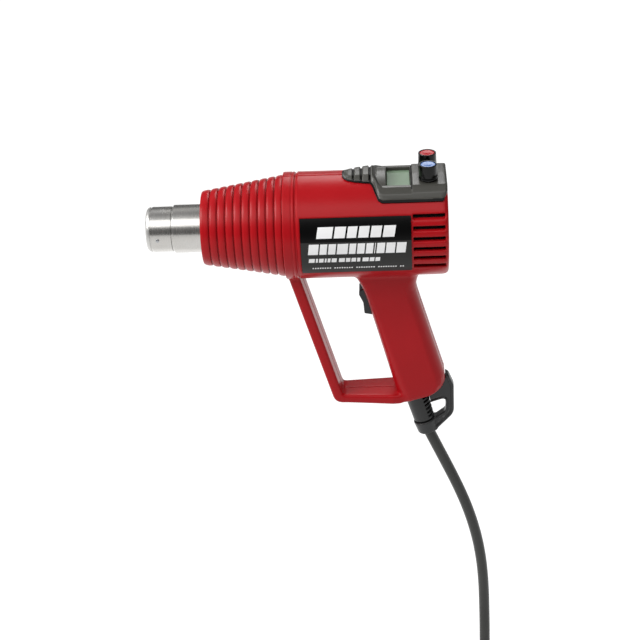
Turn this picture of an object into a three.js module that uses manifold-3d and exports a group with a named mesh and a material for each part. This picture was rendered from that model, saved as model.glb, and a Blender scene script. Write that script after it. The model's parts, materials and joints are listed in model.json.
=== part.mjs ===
// Pistol-grip heat gun with two dials, a small display and a closed finger guard.
// Millimetres, +Z up. The barrel runs along X with the nozzle towards -X.
// Shapes are drawn in the barrel frame: x = 0 at the nozzle's tip, z = 0 on the barrel's axis.
// Every finished solid is then moved so that the origin is the middle of the hand grip.
import * as THREE from "three";
import { mergeVertices } from "three/addons/utils/BufferGeometryUtils.js";
import Module from "manifold-3d";

const wasm = await Module();
wasm.setup();

// ---- Driving dimensions ----
const GAP = 0.3; // clearance between neighbouring pieces
const WALL = 2.6; // housing wall

const BODY_FRONT = 111.2; // front face of the housing halves
const BODY_REAR = 241.4;
const BODY_R = 43.1;
const BODY_INNER_R = BODY_R - WALL;

const CONE_FRONT = 45.4;
const CONE_REAR = BODY_FRONT - GAP;
const CONE_FRONT_R = 30.0;
const CONE_REAR_R = 41.1;
const RIB_COUNT = 10;
const RIB_DEPTH = 2.0;

const SLEEVE_R = 18.35; // outlet sleeve
const SLEEVE_LENGTH = 30;
const BARREL_R = 19.5; // heater barrel behind it
const BARREL_FRONT = 20.2;
const BARREL_REAR = 118;

const LEAN = THREE.MathUtils.degToRad(15); // handle's lean, lower end to the rear
const HANDLE_TOP = { x: 192.2, z: -50 }; // a point on the handle's middle line
const HANDLE_HALF_Y = 17.6;
const HANDLE_END = 109.3; // along the handle's line
const GRIP_AT = 52; // along the handle's line

const GUARD_HALF_Y = 13.8;
const BAR_TOP = -152.2;
const BAR_BOTTOM = -159.8;

const VENT_COUNT = 6;
const VENT_PITCH = 8.5;
const VENT_HEIGHT = 3.9;
const VENT_FRONT = 213.6;
const VENT_REAR = 238.7;
const VENT_MIDDLE_Z = -0.6;

const PLATE_TOP = 41.6; // flat top under the dials
const PLATE_FRONT = 213.8;
const PLATE_REAR = 239.0;
const BEZEL_TOP = 40.3; // flat top round the display
const WINDOW = { x0: 193.6, x1: 212.4, halfY: 18.7, floor: 37.3 };
const WELL = { x0: 191.6, x1: 238.2, halfY: 19.6, floor: 27.5 }; // opening in the housing under the panel

const DIAL_X = 226.5;
const DIAL_Y = 11.8;
const DIAL_R = 7.25;
const DIAL_TOP = 54.7;

const MOTOR_X = 172; // front of the motor can
const MOTOR_R = 24;

const PIVOT = { x: 181.4, z: -66.4 }; // rocker's pin
const ROCKER_HALF_Y = 7.6;

const RELIEF_OFFSET = -7.6; // strain relief's line, ahead of the handle's line
const RELIEF_END = 149.4; // along the handle's line
const LOOP_HALF_Y = 5;

const CORD_R = 4.7;
const COIL = { x: 231.5, z: -520, innerTurn: 50.5, outerTurn: 60.3, pitch: 9.8 };
const TAIL_END = 68; // tail's end below the coil's middle

// The cord's middle line from the strain relief down to the coil, [x, y, z].
const CORD_ROUTE = [
  [224.0, 0, -197.0],
  [228.0, 0, -206.3],
  [232.0, 0, -215.6],
  [236.0, 0, -224.9],
  [240.0, 0, -234.2],
  [243.9, 0, -243.5],
  [247.7, 0, -252.9],
  [251.3, 0, -262.4],
  [254.7, 0, -272.0],
  [257.8, 0, -281.8],
  [260.6, 0, -291.8],
  [263.1, 0, -302.0],
  [265.3, 0, -312.6],
  [267.1, 0, -323.6],
  [268.6, 0, -335.0],
  [269.7, 0, -347.0],
  [270.5, 0, -359.6],
  [271.0, 0, -373.0],
  [271.3, -0.4, -388.0],
  [271.5, -1.4, -403.0],
  [271.5, -3.2, -417.0],
  [271.3, -5.4, -430.0],
  [268.4, -7.6, -445.4],
  [259.8, -9.6, -458.3],
  [252.8, -10.0, -462.9],
];

// ---- Small helpers ----
const group = new THREE.Group();
const handlePoint = (along, across, y = 0) =>
  new THREE.Vector3(
    HANDLE_TOP.x + along * Math.sin(LEAN) + across * Math.cos(LEAN),
    y,
    HANDLE_TOP.z - along * Math.cos(LEAN) + across * Math.sin(LEAN),
  );
const GRIP = handlePoint(GRIP_AT, 0);

// A closed solid from a geometry, turned so that its faces point out.
function solid(geometry) {
  const plain = new THREE.BufferGeometry().setAttribute(
    "position",
    (geometry.index ? geometry.toNonIndexed() : geometry).getAttribute("position"),
  );
  const merged = mergeVertices(plain, 1e-4);
  const build = (order) => {
    const triVerts = [];
    const index = merged.index.array;
    for (let i = 0; i < index.length; i += 3) {
      const [a, b, c] = [index[i], index[i + order[0]], index[i + order[1]]];
      if (a !== b && b !== c && a !== c) triVerts.push(a, b, c);
    }
    return new wasm.Manifold(
      new wasm.Mesh({
        numProp: 3,
        vertProperties: new Float32Array(merged.attributes.position.array),
        triVerts: new Uint32Array(triVerts),
      }),
    );
  };
  const made = build([1, 2]);
  return made.volume() > 0 ? made : build([2, 1]);
}

const join = (...parts) => parts.reduce((a, b) => a.add(b));
const cut = (body, ...tools) => tools.reduce((a, b) => a.subtract(b), body);
const largest = (body) => body.decompose().sort((a, b) => b.volume() - a.volume())[0];

function add(name, body, colour, look = {}) {
  const mesh = body.getMesh();
  const geometry = new THREE.BufferGeometry();
  geometry.setAttribute("position", new THREE.BufferAttribute(new Float32Array(mesh.vertProperties), 3));
  geometry.setIndex(new THREE.BufferAttribute(new Uint32Array(mesh.triVerts), 1));
  geometry.translate(-GRIP.x, -GRIP.y, -GRIP.z);
  geometry.computeVertexNormals();
  const material = new THREE.MeshStandardMaterial({ color: colour, roughness: 0.5, ...look });
  const part = new THREE.Mesh(geometry, material);
  part.name = name;
  group.add(part);
}

// A box from its lowest and highest corners.
function box(low, high) {
  const size = high.map((value, i) => value - low[i]);
  const geometry = new THREE.BoxGeometry(...size);
  geometry.translate(...low.map((value, i) => value + size[i] / 2));
  return solid(geometry);
}

// A solid of revolution about the barrel's axis from [x, r] points.
function lathe(points, segments = 48) {
  const profile = points.map(([x, r]) => new THREE.Vector2(r, x));
  const geometry = new THREE.LatheGeometry([...profile, profile[0]], segments);
  geometry.rotateZ(-Math.PI / 2);
  return solid(geometry);
}

const tube = (x0, x1, outer, inner, segments = 32) =>
  lathe([[x0, inner], [x0, outer], [x1, outer], [x1, inner]], segments);

const rod = (x0, x1, radius, segments = 20) => lathe([[x0, 0], [x0, radius], [x1, radius], [x1, 0]], segments);

// A cylinder between two points.
function bar(from, to, radius, segments = 20, endRadius = radius) {
  const line = new THREE.Vector3().subVectors(to, from);
  const geometry = new THREE.CylinderGeometry(endRadius, radius, line.length(), segments);
  geometry.applyQuaternion(
    new THREE.Quaternion().setFromUnitVectors(new THREE.Vector3(0, 1, 0), line.clone().normalize()),
  );
  geometry.translate(...new THREE.Vector3().addVectors(from, to).multiplyScalar(0.5).toArray());
  return solid(geometry);
}

// A skin through rings of equal point count, closed by a fan at each end.
function loft(rings) {
  const count = rings[0].length;
  const middle = (ring) => ring.reduce((sum, p) => sum.add(p), new THREE.Vector3()).divideScalar(ring.length);
  const positions = [];
  const face = (...corners) => corners.forEach((p) => positions.push(p.x, p.y, p.z));
  for (let i = 0; i + 1 < rings.length; i++) {
    for (let j = 0; j < count; j++) {
      const k = (j + 1) % count;
      face(rings[i][j], rings[i][k], rings[i + 1][k]);
      face(rings[i][j], rings[i + 1][k], rings[i + 1][j]);
    }
  }
  const [first, last] = [rings[0], rings[rings.length - 1]];
  const [start, end] = [middle(first), middle(last)];
  for (let j = 0; j < count; j++) {
    const k = (j + 1) % count;
    face(start, first[k], first[j]);
    face(end, last[j], last[k]);
  }
  const geometry = new THREE.BufferGeometry();
  geometry.setAttribute("position", new THREE.Float32BufferAttribute(positions, 3));
  return solid(geometry);
}

// An outline in XZ, drawn as THREE.Vector2(x, z) points, as thick as y0 to y1.
function plate(points, y0, y1, holes = []) {
  const shape = new THREE.Shape(points);
  holes.forEach((hole) => shape.holes.push(new THREE.Path(hole)));
  const geometry = new THREE.ExtrudeGeometry(shape, { depth: y1 - y0, bevelEnabled: false, curveSegments: 8 });
  geometry.rotateX(Math.PI / 2);
  geometry.translate(0, y1, 0);
  return solid(geometry);
}

// A closed outline with its corners rounded; each corner is [x, z, radius].
function roundedOutline(corners, steps = 5) {
  const points = [];
  corners.forEach(([x, z, radius], i) => {
    const here = new THREE.Vector2(x, z);
    if (!radius) {
      points.push(here);
      return;
    }
    const [bx, bz] = corners[(i + corners.length - 1) % corners.length];
    const [nx, nz] = corners[(i + 1) % corners.length];
    const back = new THREE.Vector2(bx, bz).sub(here).normalize();
    const next = new THREE.Vector2(nx, nz).sub(here).normalize();
    const half = Math.acos(THREE.MathUtils.clamp(back.dot(next), -1, 1)) / 2;
    const reach = radius / Math.tan(half);
    const from = here.clone().addScaledVector(back, reach);
    const to = here.clone().addScaledVector(next, reach);
    for (let s = 0; s <= steps; s++) {
      const t = s / steps;
      const a = from.clone().lerp(here, t);
      const b = here.clone().lerp(to, t);
      points.push(a.lerp(b, t));
    }
  });
  return points;
}

// ---- Housing ----
// One level of the handle: a rounded rectangle across the handle's line.
function handleRing(along, front, rear, halfY, grow = 0) {
  const [u0, u1, h] = [front - grow, rear + grow, halfY + grow];
  const frontRound = Math.min(9, h * 0.9);
  const rearRound = Math.min(12, h * 0.9);
  const outline = roundedOutline(
    [
      [u0, -h, frontRound],
      [u1, -h, rearRound],
      [u1, h, rearRound],
      [u0, h, frontRound],
    ],
    3,
  );
  return outline.map((p) => handlePoint(along, p.x, p.y));
}

// The handle's levels: along its line, front edge, rear edge, half thickness.
const HANDLE_LEVELS = [
  [-26, -26, 32, 17.6],
  [-12, -26, 32, 17.6],
  [-8, -23.4, 27.6, 17.6],
  [-4, -21.8, 24.0, 17.4],
  [0, -20.8, 21.8, 17.3],
  [6, -20.3, 20.7, 17.3],
  [20, -20.3, 20.7, 17.3],
  [60, -20.8, 21.2, 17.5],
  [95, -21.4, 21.8, 17.6],
  [101, -21.4, 20.6, 17.4],
  [105.5, -21.2, 17.4, 17.0],
  [108, -21.0, 13.6, 16.3],
  [HANDLE_END, -20.6, 8.5, 15.4],
];

function handleSolid(grow = 0, from = -26, to = HANDLE_END) {
  const levels = HANDLE_LEVELS.filter(([along]) => along >= from && along <= to);
  return loft(
    levels.map(([along, front, rear, halfY], i) => {
      const end = i === levels.length - 1 ? Math.max(grow, 0) : 0;
      return handleRing(along + end, front, rear, halfY, grow);
    }),
  );
}

// The finger guard: a strut down from the barrel's front and a bar back to the handle.
function guardSolid() {
  const outline = roundedOutline([
    [BODY_FRONT, -30, 0],
    [BODY_FRONT, -38.4, 0],
    [145.4, BAR_BOTTOM, 9],
    [176, BAR_BOTTOM - 0.6, 0],
    [202.4, BAR_BOTTOM - 1.0, 0],
    [202.4, BAR_TOP, 0],
    [152.0, BAR_TOP, 4],
    [118.2, -30, 0],
  ]);
  const side = plate(outline, -HANDLE_HALF_Y, HANDLE_HALF_Y);
  const plan = [
    [100, GUARD_HALF_Y],
    [156, GUARD_HALF_Y],
    [200, HANDLE_HALF_Y - 0.6],
    [212, HANDLE_HALF_Y - 0.6],
  ];
  const outlineXY = [...plan, ...plan.map(([x, y]) => [x, -y]).reverse()].map(([x, y]) => new THREE.Vector2(x, y));
  const tall = new THREE.ExtrudeGeometry(new THREE.Shape(outlineXY), { depth: 160, bevelEnabled: false });
  tall.translate(0, 0, -180);
  return side.intersect(solid(tall));
}

const bodyOuter = lathe([
  [BODY_FRONT, 0],
  [BODY_FRONT, 42.5],
  [BODY_FRONT + 0.8, BODY_R],
  [120.5, BODY_R],
  [121.2, 42.2],
  [122.3, 42.2],
  [123.0, BODY_R],
  [232, 42.7],
  [238.4, 42.5],
  [240.5, 41.6],
  [BODY_REAR, 39.6],
  [BODY_REAR, 0],
], 48);

const bodyInner = lathe([
  [BODY_FRONT - 2, 0],
  [BODY_FRONT - 2, 30],
  [BODY_FRONT + WALL, 30],
  [BODY_FRONT + WALL, BODY_INNER_R],
  [BODY_REAR - WALL, BODY_INNER_R - 0.6],
  [BODY_REAR - WALL, 0],
], 36);

// Air inlet slots in both flanks and in the rear face.
function ventTools() {
  const tools = [];
  for (let i = 0; i < VENT_COUNT; i++) {
    const z = VENT_MIDDLE_Z + (i - (VENT_COUNT - 1) / 2) * VENT_PITCH;
    const [low, high] = [z - VENT_HEIGHT / 2, z + VENT_HEIGHT / 2];
    const inside = Math.sqrt(39.4 ** 2 - Math.max(Math.abs(low), Math.abs(high)) ** 2) - 3;
    tools.push(box([VENT_FRONT, -60, low], [VENT_REAR, -inside, high]));
    tools.push(box([VENT_FRONT, inside, low], [VENT_REAR, 60, high]));
    tools.push(box([BODY_REAR - 5, -20, low], [BODY_REAR + 5, -2, high]));
    tools.push(box([BODY_REAR - 5, 2, low], [BODY_REAR + 5, 20, high]));
  }
  return tools;
}

// Housing screws come from the far flank: [x, z, depth of the head's seat from the middle].
const SCREWS = [
  ["screw_body_front", 124.6, -36.2, 13.5],
  ["screw_guard_corner", 150.2, -154.6, 9.5],
  ["screw_body_top", 177.6, 35.6, 15.5],
  ["screw_handle_top", 217.0, -96.0, 12.5],
  ["screw_handle_bottom", 229.4, -140.2, 12.5],
];
const SCREW_HEAD_R = 3.2;
const SCREW_R = 1.5;

const screwSeat = ([, x, z, seat]) =>
  join(
    bar(new THREE.Vector3(x, seat - GAP, z), new THREE.Vector3(x, 50, z), SCREW_HEAD_R + GAP, 14),
    bar(new THREE.Vector3(x, -9 - GAP, z), new THREE.Vector3(x, seat, z), SCREW_R + GAP, 10),
  );

const screwBoss = ([, x, z, seat]) => bar(new THREE.Vector3(x, -seat - 2, z), new THREE.Vector3(x, seat + 2, z), 5, 12);

const screwSolid = ([, x, z, seat]) =>
  cut(
    join(
      bar(new THREE.Vector3(x, seat, z), new THREE.Vector3(x, seat + 2.2, z), SCREW_HEAD_R, 14),
      bar(new THREE.Vector3(x, -9, z), new THREE.Vector3(x, seat + 1, z), SCREW_R, 10),
    ),
    box([x - 2, seat + 1.4, z - 0.45], [x + 2, seat + 4, z + 0.45]),
    box([x - 0.45, seat + 1.4, z - 2], [x + 0.45, seat + 4, z + 2]),
  );

// The rocker's opening in the handle's front, and the room its body needs inside.
const rockerOpening = box(
  [PIVOT.x - 16, -ROCKER_HALF_Y - 0.5, -81.2],
  [PIVOT.x + 4, ROCKER_HALF_Y + 0.5, -51.4],
);

const LABEL = { x0: 125.2, x1: 212.0, up: 31, down: -37.5, r: BODY_R + 0.25, thick: 0.5 };

// A slab of a cylinder about the barrel's axis; angles are above and below the near flank.
function curvedSlab(x0, x1, inner, outer, down, up, side, steps = 12) {
  const rings = [x0, x1].map((x) => {
    const ring = [];
    for (let i = 0; i <= steps; i++) {
      const a = THREE.MathUtils.degToRad(down + ((up - down) * i) / steps);
      ring.push(new THREE.Vector3(x, side * outer * Math.cos(a), outer * Math.sin(a)));
    }
    for (let i = steps; i >= 0; i--) {
      const a = THREE.MathUtils.degToRad(down + ((up - down) * i) / steps);
      ring.push(new THREE.Vector3(x, side * inner * Math.cos(a), inner * Math.sin(a)));
    }
    return ring;
  });
  const positions = [];
  const face = (...corners) => corners.forEach((p) => positions.push(p.x, p.y, p.z));
  const count = rings[0].length;
  for (let j = 0; j < count; j++) {
    const k = (j + 1) % count;
    face(rings[0][j], rings[0][k], rings[1][k]);
    face(rings[0][j], rings[1][k], rings[1][j]);
  }
  for (let i = 0; i < steps; i++) {
    const [a, b, c, d] = [i, i + 1, count - 2 - i, count - 1 - i];
    face(rings[0][a], rings[0][c], rings[0][b]);
    face(rings[0][a], rings[0][d], rings[0][c]);
    face(rings[1][a], rings[1][b], rings[1][c]);
    face(rings[1][a], rings[1][c], rings[1][d]);
  }
  const geometry = new THREE.BufferGeometry();
  geometry.setAttribute("position", new THREE.Float32BufferAttribute(positions, 3));
  return solid(geometry);
}

function housing() {
  const handleInner = loft(
    HANDLE_LEVELS.filter(([along]) => along <= 101).map(([along, front, rear, halfY]) =>
      handleRing(Math.min(along, 100), front, rear, halfY, -WALL),
    ),
  );
  const outer = join(bodyOuter, handleSolid(), guardSolid());
  let shell = cut(outer, bodyInner, handleInner);
  const bosses = SCREWS.map((screw) => screwBoss(screw).intersect(outer));
  shell = join(shell, ...bosses);
  shell = cut(shell, ...SCREWS.map(screwSeat), ...ventTools(), rockerOpening);
  const well = box([WELL.x0, -WELL.halfY, WELL.floor], [WELL.x1, WELL.halfY, 60]);
  const reliefHole = bar(handlePoint(98, RELIEF_OFFSET), handlePoint(HANDLE_END + 3, RELIEF_OFFSET), 8.2 + GAP, 24);
  const pinHole = bar(new THREE.Vector3(PIVOT.x, -14, PIVOT.z), new THREE.Vector3(PIVOT.x, 14, PIVOT.z), 1.8, 16);
  const pocket = curvedSlab(
    LABEL.x0 - GAP, LABEL.x1 + GAP, BODY_R - LABEL.thick, BODY_R + 2, LABEL.down - 0.4, LABEL.up + 0.4, -1,
  );
  return cut(shell, well, reliefHole, pinHole, pocket);
}

const shell = housing();
const leftHalf = box([0, -60, -220], [260, -GAP / 2, 60]);
const rightHalf = box([0, GAP / 2, -220], [260, 60, 60]);
const RED = 0xa8141c;
add("left_shell", shell.intersect(leftHalf), RED, { roughness: 0.35 });
add("right_shell", shell.intersect(rightHalf), RED, { roughness: 0.35 });
SCREWS.forEach((screw) => add(screw[0], screwSolid(screw), 0x8d8f92, { metalness: 0.9 }));

// ---- Ribbed nose cone ----
function noseCone() {
  const outer = [];
  const pitch = (CONE_REAR - CONE_FRONT) / RIB_COUNT;
  const radiusAt = (x) =>
    THREE.MathUtils.mapLinear(x, CONE_FRONT, CONE_REAR, CONE_FRONT_R, CONE_REAR_R);
  for (let i = 0; i < RIB_COUNT; i++) {
    const x = CONE_FRONT + i * pitch;
    outer.push([x, radiusAt(x) - (i ? RIB_DEPTH : 1.2)]);
    outer.push([x + 0.24 * pitch, radiusAt(x) - 0.1]);
    outer.push([x + 0.7 * pitch, radiusAt(x + 0.7 * pitch) - 0.1]);
  }
  outer.push([CONE_REAR, CONE_REAR_R - RIB_DEPTH]);
  return lathe([[CONE_FRONT, 21.4], ...outer, [CONE_REAR, 35.4], [CONE_FRONT + 3, 25.6], [CONE_FRONT + 3, 21.4]], 32);
}
add("nose_cone", noseCone(), RED, { roughness: 0.35 });

// ---- Outlet and heater ----
const STEEL = { metalness: 0.95, roughness: 0.28 };
const RIVET = { x: 9.6, y: -18.2, z: -1.8 };

function outletSleeve() {
  const inner = SLEEVE_R - 0.9;
  const body = lathe([
    [0.5, SLEEVE_R - 2.6],
    [0, SLEEVE_R - 1.9],
    [0, SLEEVE_R - 0.9],
    [0.5, SLEEVE_R - 0.2],
    [1.4, SLEEVE_R],
    [SLEEVE_LENGTH, SLEEVE_R],
    [SLEEVE_LENGTH, inner],
    [2.0, inner],
    [1.4, SLEEVE_R - 1.6],
  ], 30);
  return cut(body, bar(new THREE.Vector3(RIVET.x, -21, RIVET.z), new THREE.Vector3(RIVET.x, -15, RIVET.z), 1.3, 14));
}
add("outlet_sleeve", outletSleeve(), 0xc4c6c8, STEEL);

const rivet = join(
  bar(new THREE.Vector3(RIVET.x, -16.6, RIVET.z), new THREE.Vector3(RIVET.x, -18.9, RIVET.z), 1.0, 14),
  bar(new THREE.Vector3(RIVET.x, -18.6, RIVET.z), new THREE.Vector3(RIVET.x, -19.1, RIVET.z), 1.45, 14),
  bar(new THREE.Vector3(RIVET.x, -16.1, RIVET.z), new THREE.Vector3(RIVET.x, -17.0, RIVET.z), 1.6, 14),
);
add("sleeve_rivet", rivet, 0x77797c, STEEL);

add("heater_barrel", tube(BARREL_FRONT, BARREL_REAR, BARREL_R, SLEEVE_R + GAP, 30), 0xbfc1c3, STEEL);
add("barrel_flange", tube(BODY_FRONT + WALL + GAP, BODY_FRONT + WALL + 3.2, 34, BARREL_R + GAP, 28), 0x9a9c9e, STEEL);
add("mica_tube", tube(SLEEVE_LENGTH + 1, 112, 17.3, 16.7, 28), 0xb9a77f, { roughness: 0.8 });

// Cross-shaped ceramic former.
function ceramicCore() {
  const arm = 10.6;
  const half = 1.6;
  return join(
    box([34, -arm, -half], [108, arm, half]),
    box([34, -half, -arm], [108, half, arm]),
    rod(34, 108, 4.2, 16),
  );
}
add("ceramic_core", ceramicCore(), 0xe4ddd0, { roughness: 0.9 });

// Resistance wire wound round the former.
class Winding extends THREE.Curve {
  getPoint(t, target = new THREE.Vector3()) {
    const turns = 6;
    const angle = 2 * Math.PI * turns * t;
    return target.set(38 + 66 * t, 12.4 * Math.cos(angle), 12.4 * Math.sin(angle));
  }
}
const winding = new THREE.ExtrudeGeometry(
  new THREE.Shape(new THREE.EllipseCurve(0, 0, 0.8, 0.8).getPoints(5).slice(0, 5)),
  { steps: 60, bevelEnabled: false, extrudePath: new Winding() },
);
add("heating_coil", solid(winding), 0x8f8a84, { metalness: 0.8 });
add("thermocouple", bar(new THREE.Vector3(32, 0, 15.1), new THREE.Vector3(111, 0, 15.1), 0.8, 8), 0xa5a7aa, STEEL);

// ---- Fan and motor ----
const airDuct = lathe([
  [BARREL_REAR + GAP, 17.6],
  [BARREL_REAR + GAP, 21],
  [122, 21.6],
  [141, 38.4],
  [165.6, 38.4],
  [165.6, 36.6],
  [142, 36.6],
  [123.4, 19.4],
  [121, 17.6],
], 28);
add("air_duct", airDuct, 0x2b2c2e, { roughness: 0.6 });

// Spoked plate that carries the motor can.
function motorMount() {
  const ring = tube(166.1, 171.1, 39.2, 35.6, 30);
  const hub = tube(166.1, 171.1, 23, 12, 24);
  const spokes = [];
  for (let i = 0; i < 6; i++) {
    const geometry = new THREE.BoxGeometry(5, 15.2, 2.4);
    geometry.translate(168.6, 29.4, 0);
    geometry.rotateX((i * Math.PI) / 3);
    spokes.push(solid(geometry));
  }
  return join(ring, hub, ...spokes);
}
add("motor_mount", motorMount(), 0x2b2c2e, { roughness: 0.6 });

const motorCan = lathe([
  [MOTOR_X - 0.6, 2.4],
  [MOTOR_X - 0.6, MOTOR_R - 1.5],
  [MOTOR_X + 1, MOTOR_R],
  [MOTOR_X + 38, MOTOR_R],
  [MOTOR_X + 38, MOTOR_R - 1.6],
  [MOTOR_X + 1.6, MOTOR_R - 1.6],
  [MOTOR_X + 1.6, 2.4],
], 30);
add("motor_can", motorCan, 0x9b9da0, STEEL);

for (const [name, side] of [["magnet_left", -1], ["magnet_right", 1]]) {
  add(name, curvedSlab(MOTOR_X + 6, MOTOR_X + 32, 18.6, MOTOR_R - 1.6 - GAP, -62, 62, side, 10), 0x3a3a3c);
}

// Slotted rotor stack with its commutator.
function armature() {
  const stack = rod(MOTOR_X + 8, MOTOR_X + 30, 17.6, 30);
  const slots = [];
  for (let i = 0; i < 10; i++) {
    const geometry = new THREE.BoxGeometry(30, 8, 2.2);
    geometry.translate(MOTOR_X + 19, 17.4, 0);
    geometry.rotateX((i * Math.PI) / 5);
    slots.push(solid(geometry));
  }
  const commutator = rod(MOTOR_X + 29, MOTOR_X + 36, 6, 20);
  return cut(join(cut(stack, ...slots), commutator), rod(MOTOR_X, MOTOR_X + 40, 1.9, 16));
}
add("armature", armature(), 0x9a5a2c, { metalness: 0.7 });
add("motor_shaft", rod(145, MOTOR_X + 40.4, 1.6, 16), 0xb9bbbe, STEEL);

const endCap = lathe([
  [MOTOR_X + 38.3, 2.0],
  [MOTOR_X + 38.3, MOTOR_R],
  [MOTOR_X + 42, MOTOR_R - 1],
  [MOTOR_X + 43.4, 8],
  [MOTOR_X + 43.4, 0],
  [MOTOR_X + 41.2, 0],
  [MOTOR_X + 41.2, 2.0],
], 30);
add("motor_end_cap", endCap, 0x232325, { roughness: 0.6 });

// Radial impeller.
function impeller() {
  const hub = tube(147, 162, 7, 1.9, 24);
  const disc = tube(158.6, 160.4, 35, 6, 30);
  const blades = [];
  for (let i = 0; i < 8; i++) {
    const geometry = new THREE.BoxGeometry(10, 24, 1.4);
    geometry.rotateX(0.35);
    geometry.translate(154, 21, -4);
    geometry.rotateX((i * Math.PI) / 4);
    blades.push(solid(geometry));
  }
  return join(hub, disc, ...blades);
}
add("fan_impeller", impeller(), 0xd9d5c8, { roughness: 0.5 });

// Foam behind the inlet slots.
for (const [name, side] of [["intake_filter_left", -1], ["intake_filter_right", 1]]) {
  add(name, curvedSlab(VENT_FRONT - 1.4, VENT_REAR - 0.4, 34.4, 37.6, -40, 37, side, 12), 0x1d1d1f);
}

// ---- Control panel ----
// The panel's sections: x, top, half width of the top, half width and height of the skirt's lower edge.
const PANEL_SECTIONS = [
  [159.9, 43.5, 3.0, 5.0, 40],
  [161.0, 44.4, 5.4, 8.0, 39],
  [163.4, 45.0, 7.2, 10.4, 38],
  [166.6, 45.3, 8.0, 11.4, 38],
  [167.1, 44.2, 6.6, 10.2, 38],
  [167.9, 44.2, 6.8, 10.4, 38],
  [168.4, 45.6, 8.4, 12.2, 38],
  [172.9, 46.0, 8.9, 12.7, 37],
  [173.5, 44.8, 7.6, 11.6, 37],
  [174.3, 44.8, 7.8, 11.8, 37],
  [174.9, 46.2, 9.3, 13.3, 36],
  [179.6, 46.5, 9.8, 13.9, 36],
  [180.2, 45.3, 8.6, 12.8, 36],
  [181.0, 45.3, 8.8, 13.0, 36],
  [181.6, 46.4, 10.0, 14.4, 36],
  [183.4, 45.4, 12.6, 17.6, 34],
  [185.4, 43.6, 17.6, 23.0, 32],
  [187.6, 41.6, 21.2, 27.2, 31],
  [190.2, BEZEL_TOP, 23.2, 28.9, 30.5],
  [PLATE_FRONT - 0.6, BEZEL_TOP, 23.2, 28.9, 30.5],
  [PLATE_FRONT, PLATE_TOP, 22.3, 28.9, 30.5],
  [235.0, PLATE_TOP, 22.3, 28.7, 30.5],
  [237.8, PLATE_TOP, 22.2, 27.4, 30.5],
  [PLATE_REAR, PLATE_TOP - 0.5, 21.8, 25.4, 30.5],
];

function panelRing([x, top, half, skirt, low]) {
  const right = [
    [0, top],
    [half * 0.6, top],
    [half * 0.94, top - 0.35],
    [half + 0.35, top - 1.2],
    [(half + skirt) / 2 + 1.0, (top + low) / 2 + 1.6],
    [skirt, Math.min(low + 3, top - 2)],
    [skirt, 26],
  ];
  const left = right.slice(1).reverse().map(([y, z]) => [-y, z]);
  return [...right, ...left].map(([y, z]) => new THREE.Vector3(x, y, z));
}

const dials = [["temperature", 1], ["airflow", -1]];

function controlPanel() {
  const outer = loft(PANEL_SECTIONS.map(panelRing));
  const seat = rod(150, 245, BODY_R + GAP, 48);
  const insert = box(
    [WELL.x0 + GAP, -WELL.halfY + GAP, 34.2],
    [WELL.x1 - GAP, WELL.halfY - GAP, 60],
  );
  const cover = join(cut(outer, seat), outer.intersect(insert));
  const room = box([WINDOW.x0 - 0.4, -WINDOW.halfY + 1.6, 20], [WELL.x1 - 2.2, WINDOW.halfY - 1.6, WINDOW.floor - 0.9]);
  const dialRoom = box([PLATE_FRONT + 1.4, -WELL.halfY + 1.5, 20], [WELL.x1 - 2.2, WELL.halfY - 1.5, PLATE_TOP - 2]);
  const lensSeat = box([WINDOW.x0, -WINDOW.halfY + 0.4, WINDOW.floor - 1.5], [WINDOW.x1, WINDOW.halfY - 0.4, 60]);
  const shaftHoles = dials.map(([, side]) =>
    bar(new THREE.Vector3(DIAL_X, side * DIAL_Y, 30), new THREE.Vector3(DIAL_X, side * DIAL_Y, 60), 3.6, 20),
  );
  return cut(cover, room, dialRoom, lensSeat, ...shaftHoles);
}
const GREY = 0x6b6b66;
add("control_panel", controlPanel(), GREY, { roughness: 0.55 });

const lens = box(
  [WINDOW.x0 + GAP, -WINDOW.halfY + 0.4 + GAP, WINDOW.floor - 1.1],
  [WINDOW.x1 - GAP, WINDOW.halfY - 0.4 - GAP, WINDOW.floor],
);
add("display_lens", lens, 0x8faf90, { roughness: 0.1 });
add("display_module", box([WINDOW.x0 + 1, -15.4, 32.2], [WINDOW.x1 - 1, 15.4, WINDOW.floor - 1.4]), 0x39423a);
add("control_board", box([194.4, -15.8, 28.4], [235.6, 15.8, 29.8]), 0x1d5c33);

for (const [name, side] of dials) {
  const at = (z) => new THREE.Vector3(DIAL_X, side * DIAL_Y, z);
  const pot = cut(bar(at(30.1), at(37.6), 5.9, 20), bar(at(33), at(60), 3.3, 12));
  add(`${name}_control`, pot, 0x9c9ea0, { metalness: 0.6 });
  const body = join(bar(at(42.2), at(DIAL_TOP), DIAL_R, 24, DIAL_R - 0.25), bar(at(34), at(43), 3.0, 12));
  add(`${name}_knob`, cut(body, bar(at(DIAL_TOP - 1.2), at(60), DIAL_R - 1.1, 24)), 0x141415);
  const cap = bar(at(DIAL_TOP - 0.9), at(DIAL_TOP - 0.3), DIAL_R - 1.4, 24);
  add(`${name}_cap`, cap, side > 0 ? 0xb3121f : 0x9fc4ee, { roughness: 0.2 });
}

// ---- Name plate ----
const label = curvedSlab(
  LABEL.x0, LABEL.x1, LABEL.r - LABEL.thick, LABEL.r, LABEL.down, LABEL.up, -1,
);
add("name_plate", label, 0x141414, { roughness: 0.3 });

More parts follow.
